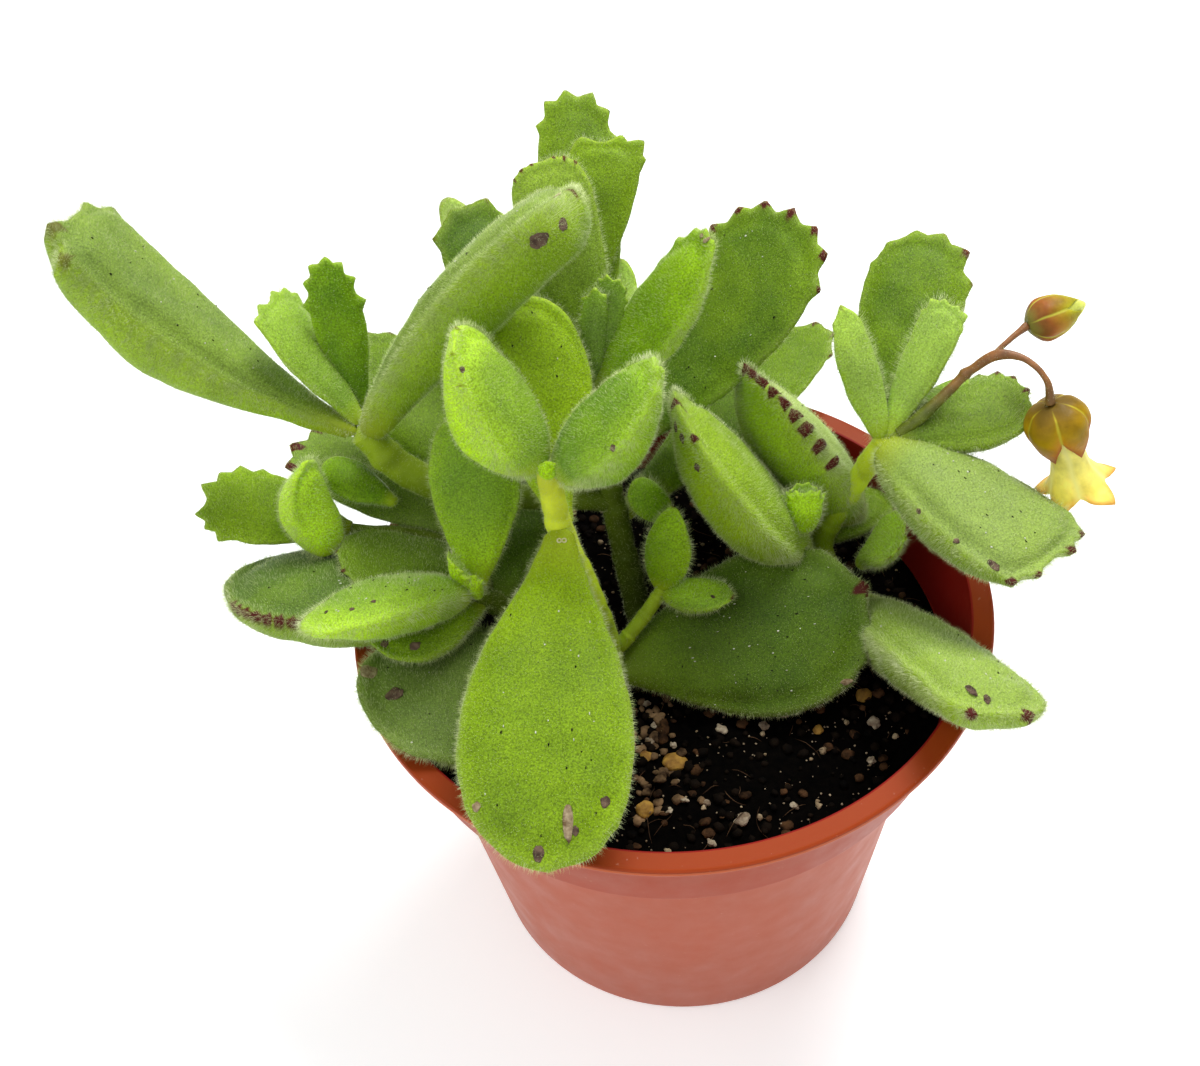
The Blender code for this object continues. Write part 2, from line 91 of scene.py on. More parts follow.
soft_lamp("key_lamp", (0.22, 0.32, 0.80), 0.40, 7.5)
soft_lamp("fill_lamp", (-0.45, -0.35, 0.70), 0.70, 2.8)

bpy.ops.mesh.primitive_plane_add(size=TABLE_WIDTH, location=(0.0, 0.0, -TABLE_DROP))
floor = bpy.context.active_object
floor.name = "table_top"
paper = bpy.data.materials.new("table_paper")
paper.use_nodes = True
paper_shader = paper.node_tree.nodes["Principled BSDF"]
paper_shader.inputs["Base Color"].default_value = (0.855, 0.895, 0.905, 1.0)
paper_shader.inputs["Roughness"].default_value = 0.9
paper_shader.inputs["Emission Color"].default_value = (1.0, 1.0, 1.0, 1.0)
paper_shader.inputs["Emission Strength"].default_value = 0.35
floor.data.materials.append(paper)


# --- The pot: one thin injection-moulded shell of terracotta-coloured plastic.  A stepped collar and a flat
# rim stiffen it, and the foot has notches and drain holes.  Its profile is spun round and its edges are
# rounded.

RIM_RADIUS, RIM_HEIGHT, RIM_WIDTH, RIM_THICKNESS = 52.5, 75.3, 3.7, 1.3
COLLAR_FOOT_HEIGHT = 58.8
COLLAR_TOP_RADIUS, COLLAR_FOOT_RADIUS = 49.7, 47.6
BODY_TOP_RADIUS, BODY_FOOT_RADIUS = 43.9, 37.0
WALL, FLOOR_THICKNESS = 1.0, 1.6
RIM_BEAD = 0.45
SPIN_STEPS = 180
NOTCHES, NOTCH_SIZE = 6, Vector((14.0, 8.0, 1.2))
DRAIN_RING, DRAIN_RADIUS = 27.0, 2.6


def deselect():
    """Leave edit mode and select nothing."""
    if bpy.context.object and bpy.context.object.mode == "EDIT":
        bpy.ops.object.mode_set(mode="OBJECT")
    bpy.ops.object.select_all(action="DESELECT")


def only(obj):
    """Make one object the only selected one, and the active one."""
    deselect()
    obj.select_set(True)
    bpy.context.view_layer.objects.active = obj


def apply_all(obj):
    """Apply every modifier of an object in order."""
    only(obj)
    for modifier in list(obj.modifiers):
        bpy.ops.object.modifier_apply(modifier=modifier.name)


def face_outwards(obj, gap):
    """Merge the points that lie within a gap, in metres, and turn every face outwards."""
    only(obj)
    bpy.ops.object.mode_set(mode="EDIT")
    bpy.ops.mesh.select_all(action="SELECT")
    bpy.ops.mesh.remove_doubles(threshold=gap)
    bpy.ops.mesh.select_all(action="SELECT")
    bpy.ops.mesh.normals_make_consistent(inside=False)
    bpy.ops.object.mode_set(mode="OBJECT")


def settle(obj):
    """Put an object's place, turn and scale into its mesh."""
    only(obj)
    bpy.ops.object.transform_apply(location=True, rotation=True, scale=True)


def turn_on_wheel(name, profile, steps):
    """Spin a profile of (radius, height) points round the Z axis into a closed shell."""
    mesh = bpy.data.meshes.new(name)
    edges = [(i, i + 1) for i in range(len(profile) - 1)]
    mesh.from_pydata([(radius * MM, 0.0, height * MM) for radius, height in profile], edges, [])
    obj = bpy.data.objects.new(name, mesh)
    scene.collection.objects.link(obj)
    only(obj)
    bpy.ops.object.mode_set(mode="EDIT")
    bpy.ops.mesh.select_all(action="SELECT")
    bpy.ops.mesh.spin(steps=steps, angle=math.tau, center=(0, 0, 0), axis=(0, 0, 1))
    face_outwards(obj, 0.00001)
    return obj


def cut_away(obj, cutter):
    """Cut one object out of another and throw the cutter away."""
    modifier = obj.modifiers.new("cut", "BOOLEAN")
    modifier.operation = "DIFFERENCE"
    modifier.solver = "EXACT"
    modifier.object = cutter
    apply_all(obj)
    bpy.data.objects.remove(cutter, do_unlink=True)


pot_profile = (
    (0.0, 0.0), (BODY_FOOT_RADIUS - 1.2, 0.0), (BODY_FOOT_RADIUS - 0.4, 0.25), (BODY_FOOT_RADIUS, 1.0),
    (BODY_TOP_RADIUS - 0.05, COLLAR_FOOT_HEIGHT - 0.7), (BODY_TOP_RADIUS + 0.25, COLLAR_FOOT_HEIGHT - 0.15),
    (BODY_TOP_RADIUS + 0.9, COLLAR_FOOT_HEIGHT), (COLLAR_FOOT_RADIUS - 0.9, COLLAR_FOOT_HEIGHT),
    (COLLAR_FOOT_RADIUS - 0.25, COLLAR_FOOT_HEIGHT + 0.2), (COLLAR_FOOT_RADIUS, COLLAR_FOOT_HEIGHT + 0.9),
    (COLLAR_TOP_RADIUS, RIM_HEIGHT - RIM_THICKNESS - 0.5),
    (COLLAR_TOP_RADIUS + 0.4, RIM_HEIGHT - RIM_THICKNESS),
    (RIM_RADIUS - RIM_BEAD, RIM_HEIGHT - RIM_THICKNESS - 0.1),
    (RIM_RADIUS - 0.1, RIM_HEIGHT - RIM_THICKNESS + 0.25),
    (RIM_RADIUS, RIM_HEIGHT - 0.65), (RIM_RADIUS - 0.15, RIM_HEIGHT - 0.15),
    (RIM_RADIUS - RIM_BEAD, RIM_HEIGHT), (RIM_RADIUS - RIM_BEAD - 0.35, RIM_HEIGHT - 0.12),
    (RIM_RADIUS - RIM_WIDTH + 0.5, RIM_HEIGHT - 0.12), (RIM_RADIUS - RIM_WIDTH + 0.1, RIM_HEIGHT - 0.25),
    (RIM_RADIUS - RIM_WIDTH - 0.1, RIM_HEIGHT - 0.8), (COLLAR_FOOT_RADIUS - WALL, COLLAR_FOOT_HEIGHT + WALL),
    (BODY_TOP_RADIUS - WALL, COLLAR_FOOT_HEIGHT + WALL), (BODY_FOOT_RADIUS - WALL, FLOOR_THICKNESS),
    (0.0, FLOOR_THICKNESS),
)
pot = turn_on_wheel("nursery_pot", pot_profile, SPIN_STEPS)
for index in range(NOTCHES):
    angle = math.radians(-90.0 + 360.0 / NOTCHES * index)
    bpy.ops.mesh.primitive_cube_add(size=1.0, rotation=(0.0, 0.0, angle + math.pi / 2.0), location=(
        BODY_FOOT_RADIUS * MM * math.cos(angle), BODY_FOOT_RADIUS * MM * math.sin(angle), 0.0))
    notch = bpy.context.active_object
    notch.scale = NOTCH_SIZE * MM
    settle(notch)
    cut_away(pot, notch)
    between = angle + math.pi / NOTCHES
    bpy.ops.mesh.primitive_cylinder_add(vertices=24, radius=DRAIN_RADIUS * MM, depth=5.0 * MM, location=(
        DRAIN_RING * MM * math.cos(between), DRAIN_RING * MM * math.sin(between), 0.5 * FLOOR_THICKNESS * MM))
    settle(bpy.context.active_object)
    cut_away(pot, bpy.context.active_object)
only(pot)
bpy.ops.object.shade_smooth_by_angle(angle=math.radians(35.0))


def new_finish(name):
    """Return a material, its nodes, its links and its Principled BSDF."""
    material = bpy.data.materials.new(name)
    material.use_nodes = True
    tree = material.node_tree
    return material, tree.nodes, tree.links, tree.nodes["Principled BSDF"]


def noise_at(nodes, links, vector, scale, detail=3.0, roughness=0.55):
    """Add a noise pattern on a given vector and return its value."""
    pattern = nodes.new("ShaderNodeTexNoise")
    pattern.inputs["Scale"].default_value = scale
    pattern.inputs["Detail"].default_value = detail
    pattern.inputs["Roughness"].default_value = roughness
    links.new(vector, pattern.inputs["Vector"])
    return pattern.outputs["Fac"]


def mottle(nodes, links, scale, detail=4.0, roughness=0.55, stretch=(1.0, 1.0, 1.0)):
    """Add a noise pattern on the object's own coordinates, in features per metre, and return its value."""
    place = nodes.new("ShaderNodeTexCoord")
    mapping = nodes.new("ShaderNodeMapping")
    mapping.inputs["Scale"].default_value = stretch
    links.new(place.outputs["Object"], mapping.inputs["Vector"])
    return noise_at(nodes, links, mapping.outputs["Vector"], scale, detail, roughness)


def ramp(nodes, links, value, stops):
    """Colour a value by (position, colour) stops and return the colour socket."""
    node = nodes.new("ShaderNodeValToRGB")
    while len(node.color_ramp.elements) < len(stops):
        node.color_ramp.elements.new(0.5)
    for element, (position, colour) in zip(node.color_ramp.elements, stops):
        element.position = position
        element.color = (*colour, 1.0)
    links.new(value, node.inputs["Fac"])
    return node.outputs["Color"]


def grey(level):
    """Return a grey colour."""
    return (level, level, level)


def blend_in(nodes, links, factor, first, second, mode="MIX"):
    """Mix two colours, each a socket or a plain colour, by a factor that is a socket or a number."""
    node = nodes.new("ShaderNodeMix")
    node.data_type = "RGBA"
    node.blend_type = mode
    for socket, value in ((node.inputs[0], factor), (node.inputs[6], first), (node.inputs[7], second)):
        if isinstance(value, bpy.types.NodeSocket):
            links.new(value, socket)
        elif isinstance(value, (int, float)):
            socket.default_value = value
        else:
            socket.default_value = (*value, 1.0)
    return node.outputs[2]


def relief(nodes, links, height, strength, distance, under=None):
    """Add a bump of a height pattern, over another bump if one is given, and return its normal."""
    bump = nodes.new("ShaderNodeBump")
    bump.inputs["Strength"].default_value = strength
    bump.inputs["Distance"].default_value = distance
    links.new(height, bump.inputs["Height"])
    if under is not None:
        links.new(under, bump.inputs["Normal"])
    return bump.outputs["Normal"]


def combine(nodes, links, first, second, operation="ADD", clamp=False):
    """Combine two values, each a socket or a number, by one operation."""
    node = nodes.new("ShaderNodeMath")
    node.operation = operation
    node.use_clamp = clamp
    for socket, value in ((node.inputs[0], first), (node.inputs[1], second)):
        if isinstance(value, (int, float)):
            socket.default_value = value
        else:
            links.new(value, socket)
    return node.outputs[0]


def object_axes(nodes, links):
    """Return the X, Y and Z sockets of the object's own coordinates."""
    axes = nodes.new("ShaderNodeSeparateXYZ")
    links.new(nodes.new("ShaderNodeTexCoord").outputs["Object"], axes.inputs[0])
    return axes.outputs


def climb_share(nodes, links, low, high):
    """Return how far up a point lies from one height to another, in metres, as a share from 0 to 1."""
    share = nodes.new("ShaderNodeMapRange")
    share.inputs["From Min"].default_value = low
    share.inputs["From Max"].default_value = high
    links.new(object_axes(nodes, links)["Z"], share.inputs["Value"])
    return share.outputs["Result"]


def soak(shader, weight, reach, depth):
    """Let light soak into a finish to a depth in metres; reach is how far its red, green and blue go."""
    shader.inputs["Subsurface Weight"].default_value = weight
    shader.inputs["Subsurface Radius"].default_value = reach
    shader.inputs["Subsurface Scale"].default_value = depth


BODY_COLOURS = ((0.3, (0.415, 0.086, 0.037)), (0.7, (0.437, 0.093, 0.042)))
COLLAR_COLOUR, RIM_COLOUR, BEAD_HIGHLIGHT_COLOUR = (0.345, 0.048, 0.012), (0.285, 0.040, 0.007), (0.46, 0.10, 0.03)
INNER_WALL_SHADE_COLOUR, DUST_COLOUR = (0.23, 0.010, 0.007), (0.62, 0.42, 0.34)
WALL_LEAN = (COLLAR_TOP_RADIUS - COLLAR_FOOT_RADIUS) / (RIM_HEIGHT - COLLAR_FOOT_HEIGHT)
WALL_START = COLLAR_FOOT_RADIUS - 0.5 * WALL - WALL_LEAN * COLLAR_FOOT_HEIGHT

pot_plastic, nodes, links, shader = new_finish("terracotta_plastic")
axes = object_axes(nodes, links)
flat_place = nodes.new("ShaderNodeCombineXYZ")
links.new(axes["X"], flat_place.inputs["X"])
links.new(axes["Y"], flat_place.inputs["Y"])
measure = nodes.new("ShaderNodeVectorMath")
measure.operation = "LENGTH"
links.new(flat_place.outputs[0], measure.inputs[0])
from_axis = measure.outputs["Value"]
climb = climb_share(nodes, links, 0.055, 0.0755)
collar_mask = ramp(nodes, links, climb, ((0.14, grey(0.0)), (0.22, grey(1.0))))
rim_mask = ramp(nodes, links, climb, ((0.88, grey(0.0)), (0.94, grey(1.0))))
# The outer edge of the rim's bead is painted a lighter orange: a painted highlight along the bead.
bead_highlight_mask = combine(nodes, links, from_axis, (RIM_RADIUS - 0.09) * MM, "GREATER_THAN")
# The inside of the wall above the soil is painted a deep dark red: painted shade inside the pot.
wall_line = combine(nodes, links, combine(nodes, links, axes["Z"], WALL_LEAN, "MULTIPLY"), WALL_START * MM)
inside_shade_mask = combine(nodes, links, combine(nodes, links, from_axis, wall_line, "LESS_THAN"),
                      combine(nodes, links, axes["Z"], (COLLAR_FOOT_HEIGHT + 0.5) * MM, "GREATER_THAN"),
                      "MULTIPLY")
plastic = ramp(nodes, links, mottle(nodes, links, 45.0), BODY_COLOURS)
for mask, colour in ((collar_mask, COLLAR_COLOUR), (rim_mask, RIM_COLOUR), (bead_highlight_mask, BEAD_HIGHLIGHT_COLOUR),
                     (inside_shade_mask, INNER_WALL_SHADE_COLOUR)):
    plastic = blend_in(nodes, links, mask, plastic, colour)
dusty = ramp(nodes, links, mottle(nodes, links, 900.0, 2.0), ((0.70, grey(0.0)), (0.78, grey(1.0))))
links.new(blend_in(nodes, links, blend_in(nodes, links, 0.22, grey(0.0), dusty), plastic, DUST_COLOUR),
          shader.inputs["Base Color"])
links.new(ramp(nodes, links, mottle(nodes, links, 160.0), ((0.3, grey(0.34)), (0.75, grey(0.50)))),
          shader.inputs["Roughness"])
swirl = relief(nodes, links, mottle(nodes, links, 60.0, 3.0, 0.5, (1.0, 1.0, 0.35)), 0.12, 0.0006)
links.new(relief(nodes, links, mottle(nodes, links, 1400.0, 2.0), 0.05, 0.00008, swirl),
          shader.inputs["Normal"])
soak(shader, 0.12, (1.0, 0.25, 0.12), 0.0015)
shader.inputs["Specular IOR Level"].default_value = 0.12
pot.data.materials.append(pot_plastic)
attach(pot, "root")
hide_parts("pot")


# --- The soil: damp black peat pressed in by hand, rough and crumbly, with tan and grey grit, one large ochre
# pebble, and fine dead roots.  It fills the pot to a finger's width below the rim.

rng = np.random.default_rng(7)
noise.seed_set(7)
SOIL_TOP, SOIL_EDGE, SOIL_FOOT = 60.2, 46.3, 1.9
SOIL_LOWEST = 60.1
CRUMBS, CHIPS, GRIT, SPECKS, FIBRES, HEAP_CHIPS = 900, 230, 200, 800, 190, 60
FIBRE_STEPS, FIBRE_RADIUS, FIBRE_TIP_RADIUS = 7, 0.07, 0.02


def soil_height(x, y):
    """Return the soil's height at a place, in millimetres."""
    radius = math.hypot(x, y)
    swell = 1.1 * noise.noise(Vector((x * 0.055, y * 0.055, 3.1)))
    lumps = (0.9 * noise.noise(Vector((x * 0.22, y * 0.22, 7.7)))
             + 0.45 * noise.noise(Vector((x * 0.7, y * 0.7, 1.3))))
    return SOIL_TOP + swell + lumps - 0.9 * (radius / SOIL_EDGE) ** 4


soil_profile = [(0.0, SOIL_FOOT), (35.5, SOIL_FOOT), (42.4, 58.7), (42.4, 59.9), (SOIL_EDGE, 59.9)]
soil_profile += [(SOIL_EDGE * (1.0 - step / 60.0), SOIL_TOP) for step in range(60)] + [(0.0, SOIL_TOP)]
soil = turn_on_wheel("peat", soil_profile, 220)
for vertex in soil.data.vertices:
    if vertex.co.z > SOIL_LOWEST * MM:
        x, y = vertex.co.x / MM, vertex.co.y / MM
        vertex.co.z = (soil_height(x, y) + 0.30 * noise.noise(Vector((x * 2.2, y * 2.2, 5.0)))) * MM
        if math.hypot(x, y) > SOIL_EDGE - 0.1:
            vertex.co.z = max(vertex.co.z, SOIL_LOWEST * MM)
soil.data.shade_smooth()


def lump(splits, seed, flatness, roughness=0.55):
    """Return the points and triangles of one small irregular grain about one millimetre across."""
    grain = bmesh.new()
    bmesh.ops.create_icosphere(grain, subdivisions=splits, radius=0.5)
    points = np.array([v.co for v in grain.verts])
    faces = np.array([[v.index for v in f.verts] for f in grain.faces])
    grain.free()
    for point in points:
        point *= 1.0 + roughness * noise.noise(Vector(point * 2.3) + Vector((seed * 3.7, seed, 0.0)))
    points[:, 2] *= flatness
    return points, faces


def triangle_mesh(name, points, faces):
    """Make an object from points in metres and triangles."""
    mesh = bpy.data.meshes.new(name)
    mesh.vertices.add(len(points))
    mesh.vertices.foreach_set("co", np.ascontiguousarray(points, np.float32).ravel())
    mesh.loops.add(3 * len(faces))
    mesh.loops.foreach_set("vertex_index", np.ascontiguousarray(faces, np.int32).ravel())
    mesh.polygons.add(len(faces))
    mesh.polygons.foreach_set("loop_start", np.arange(0, 3 * len(faces), 3, dtype=np.int32))
    mesh.update(calc_edges=True)
    mesh.validate()
    obj = bpy.data.objects.new(name, mesh)
    scene.collection.objects.link(obj)
    return obj


def join_parts(name, parts):
    """Make one object from many parts, each its points in millimetres and its triangles."""
    starts = np.cumsum([0] + [len(points) for points, _ in parts])
    return triangle_mesh(name, np.concatenate([points for points, _ in parts]) * MM,
                         np.concatenate([triangles + start for (_, triangles), start in zip(parts, starts)]))


def scatter(name, places, sizes, shapes):
    """Lay one grain at each place, turned at random, and join them all into one object."""
    parts = []
    for place, size in zip(places, sizes):
        grain, triangles = shapes[rng.integers(len(shapes))]
        turn = np.array(Matrix.Rotation(rng.uniform(0, math.tau), 3, "Z") @ Matrix.Rotation(
            rng.uniform(-0.6, 0.6), 3, "X"))
        parts.append((np.array(place) + size * grain @ turn.T, triangles))
    return join_parts(name, parts)


def soil_places(count, lift):
    """Return random places on the soil, lifted a little."""
    radii = (SOIL_EDGE - 1.0) * np.sqrt(rng.uniform(0.0, 1.0, count))
    angles = rng.uniform(0.0, math.tau, count)
    places = [(r * math.cos(a), r * math.sin(a)) for r, a in zip(radii, angles)]
    return [(x, y, soil_height(x, y) + lift) for x, y in places]


small_lumps = [lump(1, seed, 0.7) for seed in range(6)]
fine_lumps = [lump(2, seed + 9, 0.75) for seed in range(6)]
dark_chips = scatter("bark_crumbs", soil_places(CHIPS, 0.25), rng.uniform(0.6, 2.4, CHIPS), [
    lump(2, seed + 20, 0.45) for seed in range(5)])
heap_x, heap_y = rng.normal(-6.0, 2.6, HEAP_CHIPS), rng.uniform(-34, -10, HEAP_CHIPS)
chip_heap = scatter("bark_heap", [(x, y, soil_height(x, y) + 0.3) for x, y in zip(heap_x, heap_y)],
                    rng.uniform(0.6, 2.2, HEAP_CHIPS), [lump(2, seed + 70, 0.5) for seed in range(5)])
specks = scatter("fine_grit", soil_places(SPECKS, 0.2), rng.uniform(0.15, 0.45, SPECKS), small_lumps)
crumbs = scatter("peat_crumbs", soil_places(CRUMBS, 0.15), rng.uniform(0.5, 2.2, CRUMBS), small_lumps)
grit = scatter("tan_grit", soil_places(GRIT, 0.25), 0.35 + 1.0 * rng.uniform(0.0, 1.0, GRIT) ** 2.4,
               fine_lumps)
stones = ((-2.1, -23.3, 4.0), (30.7, -13.6, 2.6), (22.0, -19.7, 1.8), (-7.7, -32.0, 2.8), (-6.5, -22.0, 2.0))
pebbles = scatter("ochre_pebbles", [(x, y, soil_height(x, y) + 0.4) for x, y, size in stones],
                  [size for x, y, size in stones], [lump(3, 14, 0.55, 0.3)])
gravel_places = ((13.4, -18.2, 2.0), (6.2, -18.8, 2.4), (17.1, -16.5, 2.0), (-1.9, -20.4, 1.4),
                 (7.2, -35.3, 3.0), (2.0, -38.7, 1.8), (15.7, -33.6, 1.8), (29.3, -26.7, 1.8),
                 (-1.3, -31.2, 1.7), (-4.0, -32.6, 1.6), (2.0, -31.8, 1.6), (-5.5, -10.8, 1.7),
                 (31.3, -19.2, 2.6), (-5.6, -19.0, 2.0), (-4.6, -16.0, 1.5))
gravel = scatter("pale_gravel", [(x, y, soil_height(x, y) + 0.35) for x, y, size in gravel_places],
                 [0.72 * size for x, y, size in gravel_places],
                 [lump(3, seed + 30, 0.6, 0.8) for seed in range(5)])

fibre_points, fibre_faces, start = [], [], 0
for x, y, z in soil_places(FIBRES, 0.35):
    heading, length = rng.uniform(0, math.tau), rng.uniform(2.0, 6.0)
    bend = rng.uniform(-0.5, 0.5)
    for step in range(FIBRE_STEPS):
        heading += bend * 0.5 + rng.uniform(-0.2, 0.2)
        x, y = x + length / 6 * math.cos(heading), y + length / 6 * math.sin(heading)
        across = Vector((-math.sin(heading), math.cos(heading), 0.0))
        inside = min(1.0, (SOIL_EDGE - 1.5) / math.hypot(x, y))
        x, y = x * inside, y * inside
        z_here = max(z, soil_height(x, y) + 0.2) + 0.5 * math.sin(step * 0.6 + bend * 4)
        radius = FIBRE_RADIUS if 0 < step < FIBRE_STEPS - 1 else FIBRE_TIP_RADIUS
        for corner in range(3):
            swing = corner * math.tau / 3
            fibre_points.append(Vector((x, y, z_here)) + across * (radius * math.cos(swing))
                                + Vector((0, 0, radius * math.sin(swing))))
        if step:
            for corner in range(3):
                a, b = start + corner, start + (corner + 1) % 3
                fibre_faces += [(a - 3, b - 3, b), (a - 3, b, a)]
        else:
            fibre_faces.append((start, start + 2, start + 1))
        start += 3
    fibre_faces.append((start - 3, start - 2, start - 1))
fibres = triangle_mesh("dead_roots", np.array(fibre_points) * MM, np.array(fibre_faces))


def earth_finish(name, dark, light, scale, roughness, shine):
    """Return a grainy mineral or peat finish between two colours."""
    material, nodes, links, shader = new_finish(name)
    links.new(ramp(nodes, links, mottle(nodes, links, scale), ((0.35, dark), (0.68, light))),
              shader.inputs["Base Color"])
    links.new(ramp(nodes, links, mottle(nodes, links, scale * 2), ((0.3, grey(roughness - 0.15)),
                                                                 (0.7, grey(roughness + 0.1)))),
              shader.inputs["Roughness"])
    links.new(relief(nodes, links, mottle(nodes, links, scale * 3, 6.0, 0.7), 0.7, 0.0005),
              shader.inputs["Normal"])
    shader.inputs["Specular IOR Level"].default_value = shine
    return material


for piece, *finish in (
        (soil, "damp_peat", (0.0004, 0.0003, 0.0003), (0.0020, 0.0014, 0.0010), 900.0, 0.85, 0.02),
        (crumbs, "peat_crumb", (0.0008, 0.0006, 0.0005), (0.010, 0.006, 0.0035), 350.0, 0.85, 0.04),
        (dark_chips, "bark_crumb", (0.012, 0.006, 0.003), (0.09, 0.042, 0.018), 500.0, 0.8, 0.05),
        (chip_heap, "bark_heap", (0.020, 0.010, 0.005), (0.26, 0.16, 0.08), 300.0, 0.8, 0.05),
        (grit, "tan_grit", (0.13, 0.080, 0.040), (0.40, 0.31, 0.19), 420.0, 0.7, 0.1),
        (specks, "fine_grit", (0.06, 0.035, 0.018), (0.42, 0.33, 0.22), 300.0, 0.7, 0.1),
        (gravel, "pale_gravel", (0.16, 0.11, 0.07), (0.46, 0.39, 0.28), 650.0, 0.7, 0.1),
        (pebbles, "ochre_stone", (0.14, 0.060, 0.012), (0.46, 0.26, 0.045), 520.0, 0.6, 0.2),
        (fibres, "dead_root", (0.020, 0.010, 0.005), (0.10, 0.055, 0.028), 400.0, 0.8, 0.05)):
    piece.data.materials.append(earth_finish(*finish))
    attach(piece, "root")
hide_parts("soil")


# --- The stems: four fleshy green stems rooted in the peat, each a tapering tube with faint rings where
# leaves once sat.  Lower down they are painted a darker green, as painted shade under the leaves, and they
# stay yellow-green and downy at their growing tips.

STEM_SIDES, STEM_RINGS, BRANCH_RINGS = 14, 110, 80
stem_routes = {
    "main_stem": (
        ((-5, 8, 52.5, 2.3), (-5, 8, 62, 2.3), (-6.7, 11.5, 75, 2.1), (-8.2, 15.5, 91, 1.9),
         (-8.6, 18, 104.5, 1.5)),
        ((-7.8, 14.2, 83.5, 1.7), (-19, 12.5, 88, 2.0), (-31, 13, 89, 2.4), (-41, 14.5, 95, 2.6),
         (-46.5, 16.5, 102.5, 2.4))),
    "front_stem": (
        ((-10, -6, 52.5, 2.2), (-10, -6, 62, 2.2), (-12, -5.5, 78, 2.0), (-16, -4, 95, 2.05),
         (-16.8, -4, 102, 1.9), (-17, -4, 110, 1.8)),
        ((-10.4, -5.8, 68, 1.2), (-7, -4.5, 71, 1.25), (-3.5, -2, 74, 1.2), (-1.2, -0.3, 76.5, 1.1))),
    "west_stem": (
        ((-17, 4, 52.5, 2.2), (-17, 4, 61, 2.2), (-24, 9, 70, 1.9), (-31, 11.5, 76.5, 1.8),
         (-42, 13, 81.5, 1.3), (-51.5, 12.5, 84.5, 1.1)),
        ((-17.5, 4.2, 63, 1.7), (-23, 2, 70, 1.9), (-28, 1, 75, 1.9), (-30.3, -0.7, 79, 1.8),
         (-31, -2, 82.5, 1.6))),
    "right_stem": (
        ((30, 5, 52.5, 1.9), (30, 5, 61, 1.9), (28.5, 9.5, 67, 2.0), (28, 12, 72, 2.0), (32, 11, 84, 1.9),
         (36.2, 8.5, 97, 1.8)),
        ((25.5, 9.5, 69, 0.8), (24.2, 8.6, 74, 0.9), (23.4, 7.2, 78.5, 0.95), (22.9, 5.8, 82.3, 1.0))),
}
# Each stem takes the sunny finish or its darker copy, which is painted shade for the stems under the leaves.
stem_painted_light = {"main_stem": "shaded_stem", "west_stem": "shaded_stem", "front_stem": "sunny_stem",
             "right_stem": "sunny_stem"}
# Where the rings sit, in hundredths of the stem's length.
stem_nodes = {"main_stem": (20, 40, 58, 76, 90), "front_stem": (22, 42, 62, 80),
              "west_stem": (25, 45, 65, 85), "right_stem": (18, 30, 52, 70, 86)}
branch_nodes = (30, 62, 88)


def smooth_path(knots, steps):
    """Run a Catmull-Rom curve through (x, y, z, radius) knots and return evenly spread points along it."""
    knots = np.array(knots, float)
    ends = np.vstack([2 * knots[0] - knots[1], knots, 2 * knots[-1] - knots[-2]])
    points = []
    for index in range(1, len(ends) - 2):
        a, b, c, d = ends[index - 1:index + 3]
        for t in np.linspace(0.0, 1.0, 24, endpoint=False):
            points.append(0.5 * (2 * b + (c - a) * t + (2 * a - 5 * b + 4 * c - d) * t ** 2
                                 + (3 * b - a - 3 * c + d) * t ** 3))
    points = np.array(points + [knots[-1]])
    far = np.concatenate([[0.0], np.cumsum(np.linalg.norm(np.diff(points[:, :3], axis=0), axis=1))])
    even = np.linspace(0.0, far[-1], steps)
    return np.column_stack([np.interp(even, far, points[:, axis]) for axis in range(4)])


def tube_mesh(path, sides, swell=None):
    """Return the points and triangles of a round closed tube along a path of (x, y, z, radius)."""
    count = len(path)
    heading = np.gradient(path[:, :3], axis=0)
    heading /= np.linalg.norm(heading, axis=1)[:, None]
    across = np.cross(heading[0], (0.0, 1.0, 0.2) if abs(heading[0][1]) < 0.9 else (1.0, 0.0, 0.0))
    rings = []
    for index in range(count):
        across = across - heading[index] * across.dot(heading[index])
        across /= np.linalg.norm(across)
        other = np.cross(heading[index], across)
        radius = path[index, 3] * (1.0 if swell is None else swell[index])
        angles = np.linspace(0.0, math.tau, sides, endpoint=False)
        rings.append(path[index, :3] + radius * (np.outer(np.cos(angles), across)
                                                 + np.outer(np.sin(angles), other)))
    points = np.vstack(rings + [path[:1, :3], path[-1:, :3] + heading[-1:] * path[-1, 3] * 0.5])
    foot, top = count * sides, count * sides + 1
    faces = []
    for side in range(sides):
        after = (side + 1) % sides
        faces.append((foot, after, side))
        faces.append((top, (count - 1) * sides + side, (count - 1) * sides + after))
        for ring in range(count - 1):
            a, b = ring * sides + side, ring * sides + after
            faces += [(a, b, b + sides), (a, b + sides, a + sides)]
    return points, np.array(faces)


def weathered(points, amount, size, seed):
    """Push points in and out by a smooth pattern, so that grown things aren't perfectly even."""
    return np.array([Vector(p) + amount * noise.noise_vector(Vector(p) / size + Vector((seed, seed, seed)))
                     for p in points])


